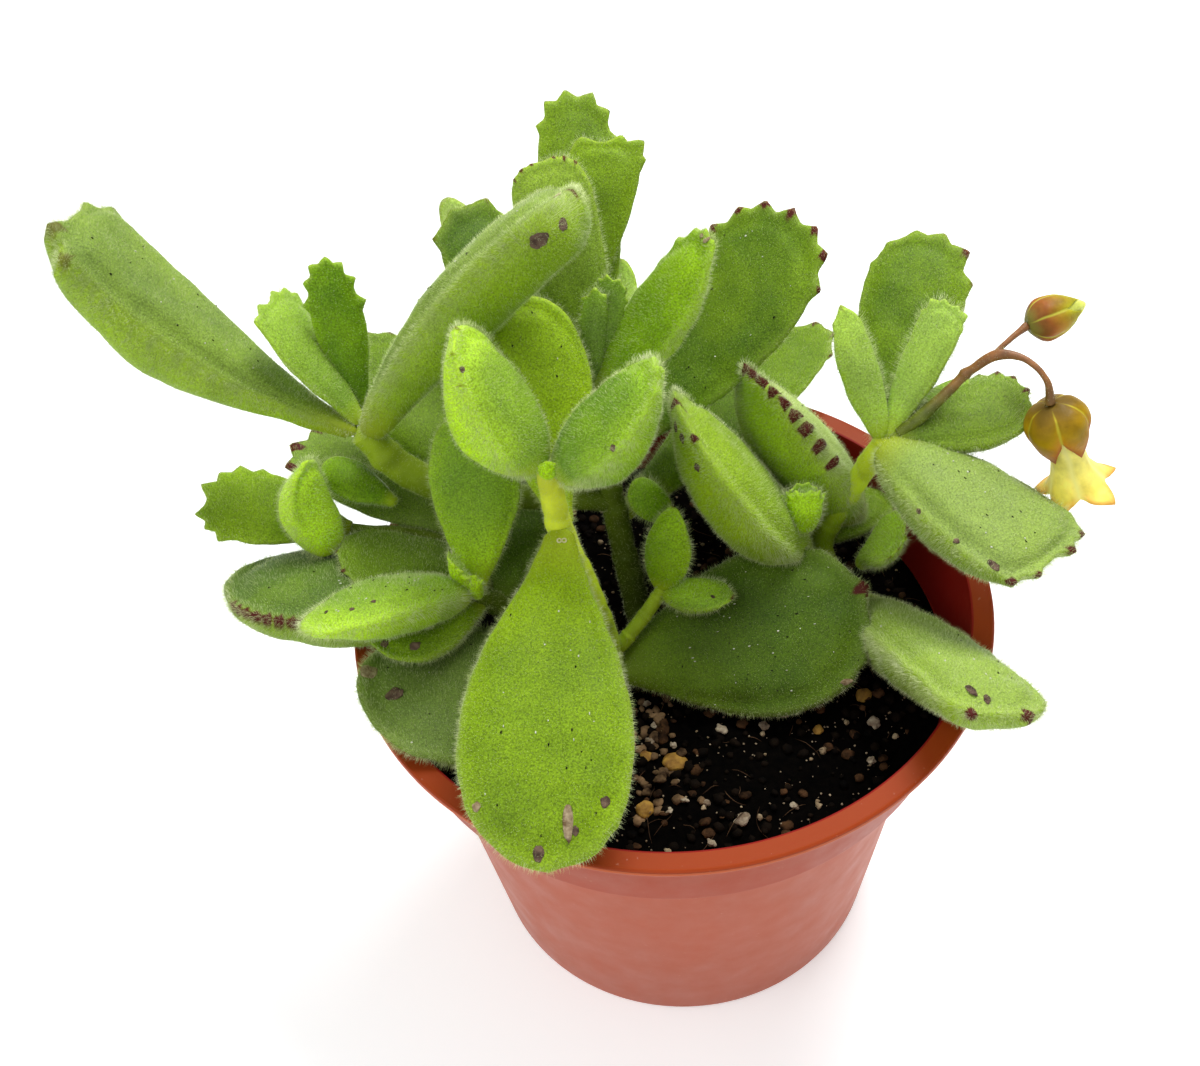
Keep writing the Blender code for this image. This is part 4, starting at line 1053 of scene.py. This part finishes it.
grow_pairs((
    ("west_leaf_upright", (-31, -2, 82), (-28.4, 16.5, 105), 15, 5, young_skin,
     dict(light=0.16, teeth=(), down=0.9, base=0.5, edge_glow=0.15, down_sheen=0.12)),
    ("west_leaf_front", (-32.4, -2.0, 83.0), (-54.8, -18.4, 95.2), 15.6, 8.5, young_skin,
     dict(roll=24, arch=1.2, petiole=0.2, taper=0.8, peak=0.54, teeth=(10, 60, 75, 88), tooth=0.3,
          tooth_width=0.8, light=0.22, red=0.25, down=1.4, share=0.42, belly=0.2, edge_glow=0.38, down_sheen=0.3)),
    ("west_leaf_under", (-30, -0.5, 78.8), (-47, -13, 84.2), 14, 6, grown_skin,
     dict(light=0.42, teeth=(), down=1.0)),
    ("west_leaf_dark", (-28, 1, 75), (-22, 22, 83), 11, 4, shaded_skin, dict(light=0.3)),
    ("west_leaf_large", (-28, 8.5, 73.5), (-70.8, -1.5, 87), 25, 13, grown_skin,
     dict(roll=18, arch=1.0, light=0.0, teeth=(88, 80, 72, 64, 56, 48, 40, 32, 24, 16, (6, 0.6)), tooth=0.1,
          tooth_width=3.4, red=0.8, belly=0.45, share=0.28, swell=3.6, dark_from=0.55, edge_glow=0.0,
          down_sheen=0.2, club=0.7)),
    ("west_leaf_middle", (-31.5, 9.5, 78), (-51.6, 0.6, 87.6), 20, 4.5, shaded_skin,
     dict(light=0.85, teeth=(-50, -25, 0, 25), tooth=0.6, tooth_width=1.4, red=0.8, edge_glow=0.15)),
    ("west_leaf_shaded", (-31, 14, 78.5), (-60.5, 31, 88.2), 14, 4.5, shaded_skin,
     dict(light=0.9, red=0.9, blunt=0.72, teeth=((-50, 1.1), (-24, 1.2), (4, 1.3), (32, 1.2), (60, 1.0)),
          tooth=1.6, tooth_width=2.2, dark_from=0.5, down_sheen=0.2)),
    ("west_leaf_tip", (-51, 12.5, 84.5), (-75, 18.5, 90), 16, 4, grown_skin,
     dict(light=0.36, blunt=0.86, peak=0.66, teeth=((-80, 0.5), (-56, 1.0), (-34, 1.1), (-10, 1.3), (26, 0.9),
          (50, 0.7), (72, 0.9)), tooth=1.7, tooth_width=2.2, taper=1.6, red=0.1, down=0.8)),
    ("west_leaf_fuzzy", (-54.6, 8, 84.8), (-55.2, 10.6, 102.2), 9.4, 7.6, young_skin,
     dict(roll=50, arch=-2, peak=0.48, petiole=0.5, taper=0.5, teeth=((0, 1.4), 30), tooth=0.5,
          tooth_width=1.2, light=0.74, red=0.1, down=1.9, belly=0.2, edge_glow=0.1, slim=-0.35, down_sheen=0.3,
          base=0.5)),
    ("west_leaf_small", (-43, 14, 88), (-55, 19, 94), 8, 3.5, young_skin, dict(light=0.18, teeth=())),
    ("west_bud_ruffled", (-31.2, -2.4, 81.5), (-34.2, -3.4, 92.0), 4.2, 2.6, young_skin,
     dict(light=0.85, teeth=(-84, -56, -28, 0, 28, 56, 84), tooth=0.8, tooth_width=0.8, peak=0.6, petiole=0.5,
          red=0.0, down=1.2, cup=0.8, down_sheen=1.0, stands_for=False)),
    ("west_bud_folded", (-30.8, -2.6, 81.5), (-31.2, -4.2, 88.5), 3.0, 2.4, young_skin,
     dict(light=0.9, teeth=(-60, -20, 20, 60), tooth=0.6, tooth_width=0.7, peak=0.6, petiole=0.6, red=0.0,
          down=1.2, down_sheen=1.0, stands_for=False)),
))


# --- The right shoot: five leaves low round its foot, one with a row of wine-red teeth and one that lies over
# the pot's rim, and between them a tiny ruffled pair on a short stalk of its own.

grow_pairs((
    ("right_leaf_west", (24.6, 10.4, 71.2), (3.2, 12, 106.6), 23, 12, grown_skin,
     dict(roll=12, sway=3.0, peak=0.58, petiole=0.30, taper=0.75, blunt=0.98, tooth=0.3, tooth_width=1.0,
          teeth=((2, 1.7), (34, 1.2), (62, 0.5)), light=0.62, red=0.75, down=1.3, dark_from=0.5, swell=2.4,
          share=0.32, down_sheen=0.18)),
    ("right_leaf_rear", (33.5, 19, 71), (15.7, 21, 104.2), 24, 12, grown_skin,
     dict(roll=34, peak=0.42, petiole=0.42, taper=0.7, blunt=1.1, teeth=((2, 1.2), 11, 20, 29, 38, 47, 56, 66,
          (77, 0.9)), tooth=1.1, share=0.38, tooth_width=1.4, light=0.85, red=1.5, dark_from=0.15, belly=-0.2,
          edge_glow=0.0, down=1.3, down_sheen=1.5, swell=2.6)),
    ("right_leaf_bud", (22.9, 5.2, 81.5), (22.9, 5.4, 90.0), 6.6, 4.6, young_skin,
     dict(roll=176, light=0.30, red=0.0, down=1.9, peak=0.6, petiole=0.5, taper=0.5, blunt=0.75, tooth=0.7,
          tooth_width=0.9, teeth=(-70, -42, -14, 14, 42, 70), cup=1.0, share=0.3, belly=0.25, down_sheen=0.3)),
    ("right_bud_rear", (22.9, 6.0, 81.5), (22.9, 6.9, 90.4), 5.2, 2.8, young_skin,
     dict(light=0.40, red=0.0, down=1.4, peak=0.6, petiole=0.5, taper=0.5, blunt=0.75, tooth=0.7,
          tooth_width=0.9, teeth=(-70, -42, -14, 14, 42, 70), cup=1.2, share=0.3, down_sheen=0.5,
          stands_for=False)),
    ("right_leaf_small", (32.6, 6, 70.2), (39.2, 3.2, 80.8), 8.8, 4.5, young_skin,
     dict(roll=15, light=0.45, red=0.4, down=1.9, tooth=1.2, tooth_width=1.4, blunt=0.75, peak=0.74,
          taper=2.0, cup=1.2, teeth=(-72, -44, -16, 14, 44), down_sheen=0.4)),
    ("right_leaf_shaded", (28, 12, 71), (41, 23, 70), 9, 4, shaded_skin, dict(light=0.9)),
    ("right_leaf_front", (31.9, 8.4, 58.5), (43.6, -41.5, 89.8), 15.6, 11.4, grown_skin,
     dict(roll=-14, arch=1.5, petiole=0.34, taper=0.8, peak=0.82, blunt=0.66, light=0.48, tooth=0.8,
          tooth_width=1.6, teeth=((-36, 1.0), (10, 1.2)), red=1.0, down=1.3, belly=-0.1, swell=2.6,
          dark_from=0.3, share=0.32, club=0.6, down_sheen=0.65)),
))


# --- The flowering shoot: the top of the right stem, where leaves of different ages, from downy young ones to
# thick grown ones with dark teeth, stand in crossed pairs round the foot of the flower stalk.

SHOOT_TOP = (36, 8.5, 96.5)
grow_pairs((
    ("shoot_leaf_young_west", SHOOT_TOP, (30.0, 18, 116.2), 7.0, 5, young_skin,
     dict(light=0.46, teeth=((0, 1.2), (36, 1.0)), tooth=0.6, tooth_width=1.0, down=1.9, petiole=0.35,
          peak=0.6, taper=0.9, blunt=0.95, red=0.3, base=0.2, down_sheen=0.75)),
    ("shoot_leaf_young_rear", SHOOT_TOP, (47.2, 18, 114.8), 7.6, 4.8, young_skin,
     dict(light=0.36, teeth=((-66, 0.6), (-40, 1.2), (-10, 0.6), (16, 0.7), (42, 1.1), (66, 0.6)), tooth=0.9,
          tooth_width=1.3, red=0.0, down=1.9, petiole=0.3, taper=1.1, peak=0.76, blunt=0.72, cup=0.8,
          base=0.2, down_sheen=0.75)),
    ("shoot_leaf_rear", (36, 8.5, 95.5), (47.5, 37.5, 114.5), 16.5, 5, grown_skin,
     dict(light=0.20, teeth=((62, 0.3), (36, 0.3), (6, 0.5), (-16, 0.8), (-42, 1.2), (-70, 0.9)), tooth=1.7,
          tooth_width=2.8, red=0.5, down=0.7, blunt=0.85)),
    ("shoot_leaf_front", SHOOT_TOP, (55.6, -17.8, 94.4), 20.5, 12.5, grown_skin,
     dict(roll=-6, petiole=0.32, taper=0.85, peak=0.78, blunt=0.66, light=0.40, down=1.4, swell=2.6,
          teeth=((-46, 1.0), (-16, 0.9), (12, 1.1), (40, 0.9)), tooth=1.3, tooth_width=2.0, red=0.75,
          belly=0.12, dark_from=0.35, share=0.30, club=0.45, edge_glow=0.0, down_sheen=0.75)),
    ("shoot_leaf_east", SHOOT_TOP, (58.6, 9.5, 102.2), 15.5, 7, grown_skin,
     dict(light=0.28, teeth=((-20, 0.8), (6, 1.2), (34, 1.0), (58, 1.0), (80, 0.9)), tooth=0.8,
          tooth_width=1.4, red=0.9, down=1.4, blunt=0.8, peak=0.68, down_sheen=0.2, dark_from=0.4)),
    ("shoot_leaf_small", (37, 10.6, 97.3), (50.3, 14.6, 102.4), 4.6, 1.8, young_skin,
     dict(light=0.25, teeth=(), down_sheen=0.4)),
))


# --- The flower: a thin brown stalk that forks, a nodding bell with a five-pointed brown-gold calyx and pale
# yellow flared petals, and a closed bud.  Calyx and petals are papery, each rolled up from its own profile.

FORK, FLOWER_FOOT, BUD_FOOT = (52, 8.6, 112), (59, 2, 107), (57.2, 12, 114.3)
FLOWER_AXIS, BUD_AXIS = (0.36, -0.11, -0.92), (0.97, 0.19, 0.18)
stalk_routes = (
    ((38.3, 8.2, 98.3, 1.1), (42, 8, 102.3, 1.0), (46.9, 9.1, 107.2, 0.8), (47.8, 9.3, 108.2, 1.0),
     (48.6, 9.2, 109.0, 0.75), (*FORK, 0.85), (55.5, 6.3, 112.6, 0.5), (58.2, 3.5, 110.6, 0.5),
     (*FLOWER_FOOT, 0.8)),
    ((51.3, 8.9, 111.5, 0.5), (54.5, 10.6, 113.2, 0.45), (*BUD_FOOT, 0.7)),
)
STALK_SIDES, STALK_RINGS, BUD_STALK_RINGS = 10, 90, 30

stalk_skin, nodes, links, shader = new_finish("flower_stalk_skin")
browned = ramp(nodes, links, climb_share(nodes, links, 0.098, 0.112),
               ((0.35, (0.13, 0.16, 0.012)), (0.65, (0.20, 0.10, 0.02)), (1.0, (0.26, 0.10, 0.025))))
links.new(blend_in(nodes, links, 1.0, browned,
                   ramp(nodes, links, mottle(nodes, links, 500.0), ((0.3, grey(0.6)), (0.7, grey(1.25)))),
                   "MULTIPLY"), shader.inputs["Base Color"])
links.new(relief(nodes, links, mottle(nodes, links, 1500.0), 0.3, 0.0002), shader.inputs["Normal"])
shader.inputs["Roughness"].default_value = 0.5
parts = []
for index, route in enumerate(stalk_routes):
    points, faces = tube_mesh(smooth_path(route, BUD_STALK_RINGS if index else STALK_RINGS), STALK_SIDES)
    parts.append((weathered(points, 0.08, 1.8, 2.0 + index), faces))
stalk = join_parts("grown_flower_stalk", parts)
stalk.data.shade_smooth()
stalk.data.materials.append(stalk_skin)
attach(stalk, "root")
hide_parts("flower_stalk")
downy_pieces.append((stalk, Vector((0.3, 0.0, 0.9)), 0.6))


def roll_cup(name, foot, axis, phase, profile, sinus, lobe, sharpness, groove, flare, wall, columns=100,
             rows=36):
    """Roll a grid into a cup with five pointed lobes, wrap it on an axis, and give it a thin wall.

    The profile is (distance, radius) from the foot; the lip lies at the sinus distance between two lobes and
    a lobe further at their tips; flare spreads the lobes' tips, each by its own share.
    """
    deselect()
    bpy.ops.mesh.primitive_grid_add(x_subdivisions=columns, y_subdivisions=rows, size=2.0)
    cup = bpy.context.active_object
    cup.name = name
    mesh = cup.data
    places = read_places(mesh)
    round_share, rise = 0.5 + 0.5 * places[:, 0], 0.5 + 0.5 * places[:, 1]
    turn = round_share * 5.0
    lobe_place = 1.0 - np.abs(2.0 * (turn - np.floor(turn)) - 1.0)
    which = np.floor(turn).astype(int) % 5
    lip = sinus + lobe * np.clip(lobe_place, 0.0, 1.0) ** sharpness
    distance = rise * lip
    fine = smooth_path([(d, r, 0.0, 0.0) for d, r in profile], 200)
    radius = np.interp(distance, fine[:, 0], fine[:, 1])
    radius *= 1.0 - groove * (1.0 - lobe_place) ** 4 * smooth_step(0.05, 0.4, rise)
    beyond_sinus = np.clip((distance - sinus) / lobe, 0.0, 1.0) * smooth_step(0.0, 0.3, lobe_place)
    radius += np.array(flare)[which] * beyond_sinus ** 1.4
    distance = distance - 0.35 * np.array(flare)[which] * beyond_sinus ** 2
    angle = math.tau * round_share + phase
    local = np.column_stack([radius * np.cos(angle), radius * np.sin(angle), distance])
    turned = np.array(Vector((0.0, 0.0, 1.0)).rotation_difference(Vector(axis).normalized()).to_matrix())
    spots = np.array(foot) + local @ turned.T
    spots = weathered(spots, 0.18, 2.4, 11.0)
    write_places(mesh, spots)
    paint_tone(mesh, 1.0 - lobe_place, rise, lobe_place, 0.2 * which)
    face_outwards(cup, 0.000004)
    thick = cup.modifiers.new("wall", "SOLIDIFY")
    thick.thickness = wall * MM
    thick.offset = -1.0
    apply_all(cup)
    cup.data.shade_smooth()
    return cup


def cup_finish(name, stops, edge_colour, edge_share, foot_colour, grain_scale, glow):
    """Return a papery finish coloured along the cup, paler on its joints and darker at its foot."""
    material, nodes, links, shader = new_finish(name)
    tone = nodes.new("ShaderNodeAttribute")
    tone.attribute_name = "tone"
    masks = nodes.new("ShaderNodeSeparateColor")
    links.new(tone.outputs["Color"], masks.inputs["Color"])
    colour = ramp(nodes, links, masks.outputs["Green"], stops)
    patches = ramp(nodes, links, mottle(nodes, links, 260.0, 5.0), ((0.35, grey(0.72)), (0.66, grey(1.25))))
    colour = blend_in(nodes, links, 1.0, colour, patches, "MULTIPLY")
    joint = ramp(nodes, links, masks.outputs["Red"], ((1.0 - edge_share, grey(0.0)), (1.0, grey(1.0))))
    colour = blend_in(nodes, links, joint, colour, edge_colour)
    base = ramp(nodes, links, masks.outputs["Green"], ((0.02, grey(1.0)), (0.18, grey(0.0))))
    links.new(blend_in(nodes, links, base, colour, foot_colour), shader.inputs["Base Color"])
    grain = mottle(nodes, links, grain_scale, 4.0, 0.6)
    links.new(ramp(nodes, links, grain, ((0.3, grey(0.36)), (0.7, grey(0.58)))), shader.inputs["Roughness"])
    links.new(relief(nodes, links, grain, 0.4, 0.00018), shader.inputs["Normal"])
    shader.inputs["Specular IOR Level"].default_value = 0.12
    soak(shader, glow, (1.0, 0.8, 0.3), 0.002)
    return material


calyx_skin = cup_finish(
    "calyx_skin", ((0.0, (0.20, 0.11, 0.008)), (0.45, (0.36, 0.22, 0.004)), (0.8, (0.40, 0.17, 0.005)),
                   (1.0, (0.28, 0.06, 0.006))), (0.50, 0.42, 0.03), 0.12, (0.14, 0.085, 0.012), 1500.0, 0.12)
petal_skin = cup_finish(
    "petal_skin", ((0.0, (0.80, 0.70, 0.12)), (0.7, (0.86, 0.76, 0.18)), (0.93, (0.86, 0.68, 0.14)),
                   (1.0, (0.74, 0.34, 0.08))), (0.88, 0.80, 0.26), 0.4, (0.72, 0.64, 0.10), 500.0, 0.3)
bud_skin = cup_finish(
    "bud_skin", ((0.0, (0.22, 0.12, 0.03)), (0.35, (0.34, 0.11, 0.02)), (0.7, (0.36, 0.24, 0.015)),
                 (1.0, (0.46, 0.44, 0.02))), (0.52, 0.50, 0.06), 0.14, (0.22, 0.20, 0.04), 1500.0, 0.15)
bud_petal_skin = cup_finish(
    "bud_petal_skin", ((0.0, (0.60, 0.66, 0.08)), (1.0, (0.86, 0.90, 0.16))), (0.90, 0.92, 0.30), 0.3,
    (0.6, 0.66, 0.1), 500.0, 0.4)

flower_calyx = roll_cup(
    "grown_flower_calyx", FLOWER_FOOT, FLOWER_AXIS, phase=0.5, sinus=4.6, lobe=5.2, sharpness=0.85,
    groove=0.10, profile=((0.0, 0.3), (0.25, 1.6), (1.2, 3.5), (2.8, 4.75), (4.6, 4.95), (6.6, 4.4),
                          (8.6, 3.6), (11.0, 2.9)),
    flare=(0.1, 0.0, 0.15, 0.05, 0.1), wall=0.35)
flower_petals = roll_cup(
    "grown_flower_petals", FLOWER_FOOT, FLOWER_AXIS, phase=0.5, sinus=16.4, lobe=1.6, sharpness=1.1,
    groove=0.02, profile=((1.6, 0.3), (2.2, 2.4), (5.0, 3.3), (9.0, 2.75), (12.0, 2.9), (15.0, 3.9),
                          (18.8, 6.0)),
    flare=(3.0, 1.0, 2.6, 1.0, 1.4), wall=0.25)
bud_calyx = roll_cup(
    "grown_bud_calyx", BUD_FOOT, BUD_AXIS, phase=0.3, sinus=5.6, lobe=2.6, sharpness=0.8, groove=0.08,
    profile=((0.0, 0.3), (0.3, 1.5), (1.6, 3.0), (3.4, 3.45), (5.4, 3.1), (7.4, 2.0), (8.6, 1.1)),
    flare=(0.0, 0.05, 0.0, 0.1, 0.0), wall=0.3)
bud_petals = roll_cup(
    "grown_bud_petals", BUD_FOOT, BUD_AXIS, phase=0.9, sinus=9.2, lobe=0.4, sharpness=1.0, groove=0.10,
    profile=((1.5, 0.2), (2.2, 2.2), (4.6, 2.8), (6.6, 2.2), (8.4, 1.2), (9.6, 0.25)),
    flare=(0.0, 0.0, 0.0, 0.0, 0.0), wall=0.2)
for piece, node, slot, finish in (
        (flower_calyx, "flower_calyx", "calyx", calyx_skin),
        (flower_petals, "flower_petals", "petals", petal_skin),
        (bud_calyx, "bud_calyx", "calyx", bud_skin), (bud_petals, "bud_petals", "petals", bud_petal_skin)):
    piece.data.materials.append(finish)
    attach(piece, "root")
    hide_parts(node)


# --- Scars, scabs and dirt: corky brown spots where the leaves were bruised, the two pale rings on the front
# leaf's stalk, and loose crumbs of peat and perlite that lie on the leaves.

SPOT_SEARCH, SPOT_LIFT = 25.0, 0.03
RING_RADIUS, RING_THICKNESS = 0.30, 0.12


def spot_on(name, across, along, under=False):
    """Return the place and the outward direction on a leaf, at shares of its half width and its length."""
    leaf, root, heading, normal, side, length, width = leaf_frames[name]
    out = -normal if under else normal
    start = root + side * (across * width / 2) + heading * (along * length) + out * SPOT_SEARCH
    hit, place, turned, _ = leaf.ray_cast(start * MM, -out)
    return (place / MM, turned) if hit else None


def stick_on(name, spots, thickness, shapes, finish):
    """Lay flat grains on leaves and join them; a spot is leaf, across, along, length, width, underside."""
    parts = []
    for leaf, across, along, long, wide, under in spots:
        found = spot_on(leaf, across, along, under)
        if found is None:
            continue
        place, turned = found
        grain, triangles = shapes[rng.integers(len(shapes))]
        first = leaf_frames[leaf][2]
        first = (first - turned * first.dot(turned)).normalized()
        second = turned.cross(first)
        shaped = (np.outer(grain[:, 0] * long, first) + np.outer(grain[:, 1] * wide, second)
                  + np.outer(grain[:, 2] * thickness, turned))
        parts.append((np.array(place + turned * SPOT_LIFT) + shaped, triangles))
    piece = join_parts(name, parts)
    piece.data.shade_smooth()
    piece.data.materials.append(finish)
    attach(piece, "root")


round_grains = [lump(3, seed + 40, 1.0) for seed in range(4)]
stick_on("brown_scars", (
    ("left_leaf_arched", -0.86, 0.93, 2.5, 2.4, True), ("left_leaf_arched", -0.52, 0.98, 1.8, 1.5, True),
    ("west_leaf_under", 0.64, 0.78, 1.8, 1.3, False), ("west_leaf_under", 0.10, 0.93, 1.6, 1.2, False),
    ("right_leaf_west", 0.25, 0.94, 2.0, 1.4, True), ("right_leaf_west", 0.45, 0.92, 1.8, 1.3, True),
    ("right_leaf_west", 0.80, 0.84, 1.4, 1.2, True), ("front_leaf_west", 0.56, 0.87, 0.9, 0.8, False),
    ("front_leaf_east", -0.90, 0.60, 1.1, 0.9, False), ("front_leaf_large", 0.62, 0.83, 1.6, 1.3, False),
    ("front_leaf_large", -0.10, 0.96, 2.4, 1.4, False), ("front_leaf_large", 0.30, 0.905, 1.4, 1.0, False),
    ("shoot_leaf_front", -0.84, 0.86, 2.0, 1.8, False), ("shoot_leaf_front", -0.90, 0.66, 1.0, 0.9, False),
    ("shoot_leaf_front", -0.82, 0.42, 0.9, 0.8, False), ("right_leaf_front", -0.50, 0.92, 2.6, 1.2, False),
    ("right_leaf_front", -0.30, 0.95, 1.4, 1.1, False), ("low_leaf_west", -0.03, 0.88, 2.8, 2.2, False),
    ("west_leaf_front", 0.42, 0.79, 0.8, 0.8, False), ("west_leaf_front", 0.58, 0.69, 0.7, 0.7, False),
    ("west_leaf_front", 0.00, 0.87, 0.7, 0.6, False), ("small_leaf_east", -0.35, 0.80, 0.7, 0.6, False),
), 0.30, round_grains,
         earth_finish("corky_scar", (0.050, 0.030, 0.022), (0.20, 0.13, 0.09), 900.0, 0.75, 0.1))
stick_on("tan_scabs", (
    ("front_leaf_large", 0.22, 0.885, 5.0, 1.3, False), ("low_leaf_west", -0.44, 0.92, 3.2, 2.8, False),
    ("top_leaf_right", 0.05, 0.985, 1.3, 1.1, False), ("top_leaf_right", 0.25, 0.97, 0.8, 0.8, False),
    ("left_leaf_arched", 0.0, 0.98, 1.5, 1.5, False), ("low_leaf_east", -0.78, 0.86, 2.0, 0.9, False),
    ("front_leaf_large", -0.80, 0.84, 1.4, 1.1, False),
), 0.40, round_grains, earth_finish("tan_scab", (0.16, 0.10, 0.05), (0.48, 0.38, 0.24), 1100.0, 0.8, 0.1))
rings = []
for across in (0.0, 0.06):
    place, turned = spot_on("front_leaf_large", across, 0.045)
    deselect()
    bpy.ops.mesh.primitive_torus_add(major_segments=20, minor_segments=8, major_radius=RING_RADIUS * MM,
                                     minor_radius=RING_THICKNESS * MM, location=place * MM,
                                     rotation=turned.to_track_quat("Z", "Y").to_euler())
    rings.append(bpy.context.active_object)
    settle(rings[-1])
for ring in rings:
    ring.select_set(True)
bpy.ops.object.join()
ring_scars = bpy.context.active_object
ring_scars.name = "ring_scars"
ring_scars.data.shade_smooth()
ring_scars.data.materials.append(
    earth_finish("pale_ring", (0.55, 0.52, 0.22), (0.80, 0.78, 0.50), 1500.0, 0.6, 0.1))
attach(ring_scars, "root")
# How many loose crumbs lie on each leaf.
loose_leaves = {"low_leaf_east": 26, "front_leaf_large": 14, "left_leaf_long": 12, "right_leaf_rear": 22,
                "shoot_leaf_front": 12, "right_leaf_front": 10, "west_leaf_front": 9, "west_leaf_large": 8,
                "low_leaf_west": 8, "back_leaf_large": 10, "front_leaf_rear": 4, "left_leaf_arched": 6}
for name, share, colours in (
        ("peat_crumbs_on_leaves", 1.0, ((0.004, 0.003, 0.002), (0.02, 0.012, 0.008))),
        ("white_specks_on_leaves", 0.9, ((0.70, 0.70, 0.60), (0.92, 0.92, 0.84)))):
    places = [(leaf, rng.uniform(-0.75, 0.75), rng.uniform(0.25, 0.93), rng.uniform(0.12, 0.50) * share,
               rng.uniform(0.12, 0.30) * share, False)
              for leaf, count in loose_leaves.items() for _ in range(count)]
    stick_on(name, places, 0.25, [lump(2, seed + 60, 1.0) for seed in range(4)],
             earth_finish(name, *colours, 700.0, 0.8, 0.1))


# --- The down: short soft hairs over every leaf and stem, each a fine closed spike, closer together along the
# leaf edges and longest on the young leaves.  They are grown in a few batches, shoot by shoot.

HAIRS_PER_MM2, HAIR_LENGTH, HAIR_RADIUS, HAIR_ROOT = 6.1, 0.58, 0.0180, 0.05
HAIR_LEAN, HAIR_SCATTER = 0.12, 0.17
EDGE_CROWDING, EDGE_LENGTHENING = 2.6, 1.1
MOST_HAIRS = 48000
down_white, nodes, links, shader = new_finish("soft_down")
links.new(ramp(nodes, links, mottle(nodes, links, 300.0),
               ((0.3, (0.62, 0.74, 0.26)), (0.7, (0.86, 0.92, 0.56)))), shader.inputs["Base Color"])
shader.inputs["Roughness"].default_value = 0.6
shader.inputs["Specular IOR Level"].default_value = 0.1


def comb_hairs(piece, lean, down):
    """Return the root, direction and length of every hair on one piece, in millimetres.

    The hairs lean a little along the leaf or stem, and down is how thick and long the fur is, 1 being usual.
    """
    mesh = piece.data
    mesh.calc_loop_triangles()
    corners = np.empty(3 * len(mesh.loop_triangles), np.int32)
    mesh.loop_triangles.foreach_get("vertices", corners)
    corners = corners.reshape(-1, 3)
    places = read_places(mesh) / MM
    turns = np.empty(3 * len(mesh.vertices), np.float32)
    mesh.vertex_normals.foreach_get("vector", turns)
    turns = turns.reshape(-1, 3).astype(float)
    edge = np.zeros(len(mesh.vertices))
    if "tone" in mesh.color_attributes:
        tones = np.empty(4 * len(mesh.vertices), np.float32)
        mesh.color_attributes["tone"].data.foreach_get("color", tones)
        edge = tones.reshape(-1, 4)[:, 1]
    a, b, c = places[corners[:, 0]], places[corners[:, 1]], places[corners[:, 2]]
    area = 0.5 * np.linalg.norm(np.cross(b - a, c - a), axis=1)
    weight = area * (1.0 + EDGE_CROWDING * edge[corners].mean(axis=1) ** 2)
    total = weight.sum()
    count = int(total * HAIRS_PER_MM2 * min(1.0, 0.4 + 0.6 * down))
    chosen = rng.choice(len(corners), size=count, p=weight / total)
    first, second = rng.uniform(0.0, 1.0, (2, count))
    folded = first + second > 1.0
    first[folded], second[folded] = 1.0 - first[folded], 1.0 - second[folded]
    shares = np.column_stack([1.0 - first - second, first, second])
    roots = (places[corners[chosen]] * shares[:, :, None]).sum(axis=1)
    out = (turns[corners[chosen]] * shares[:, :, None]).sum(axis=1)
    out += HAIR_LEAN * np.array(lean) + rng.normal(0.0, HAIR_SCATTER, (count, 3))
    out /= np.linalg.norm(out, axis=1)[:, None]
    lengths = HAIR_LENGTH * (0.45 + 0.55 * down) * rng.uniform(0.45, 1.25, count)
    return roots, out, lengths * (1.0 + EDGE_LENGTHENING * edge[corners[chosen]].mean(axis=1))


def plant_hairs(name, roots, out, lengths):
    """Make one piece of many closed three-sided spikes."""
    aside = np.cross(out, np.where(np.abs(out[:, :1]) < 0.8, (1.0, 0.0, 0.0), (0.0, 1.0, 0.0)))
    aside /= np.linalg.norm(aside, axis=1)[:, None]
    other = np.cross(out, aside)
    feet = roots - out * HAIR_ROOT
    corners = [feet + HAIR_RADIUS * (math.cos(swing) * aside + math.sin(swing) * other)
               for swing in (0.0, math.tau / 3, 2 * math.tau / 3)]
    tips = roots + out * lengths[:, None]
    points = np.stack([*corners, tips], axis=1).reshape(-1, 3)
    start = 4 * np.arange(len(roots))[:, None]
    pattern = np.array([(0, 2, 1), (0, 1, 3), (1, 2, 3), (2, 0, 3)])
    faces = (start[:, :, None] + pattern[None]).reshape(-1, 3)
    hairs = triangle_mesh(name, points * MM, faces)
    hairs.data.materials.append(down_white)
    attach(hairs, "root")


# A batch is planted when the next piece's hairs would make it too large, and the last one at the end.
batch, batch_number = [], 0
for piece, lean, down in downy_pieces + [(None, None, None)]:
    grown = None if piece is None else comb_hairs(piece, lean, down)
    if batch and (grown is None or sum(len(part[0]) for part in batch) + len(grown[0]) > MOST_HAIRS):
        plant_hairs(f"down_{batch_number}",
                    *(np.concatenate([part[axis] for part in batch]) for axis in range(3)))
        batch, batch_number = [], batch_number + 1
    if grown is not None:
        batch.append(grown)
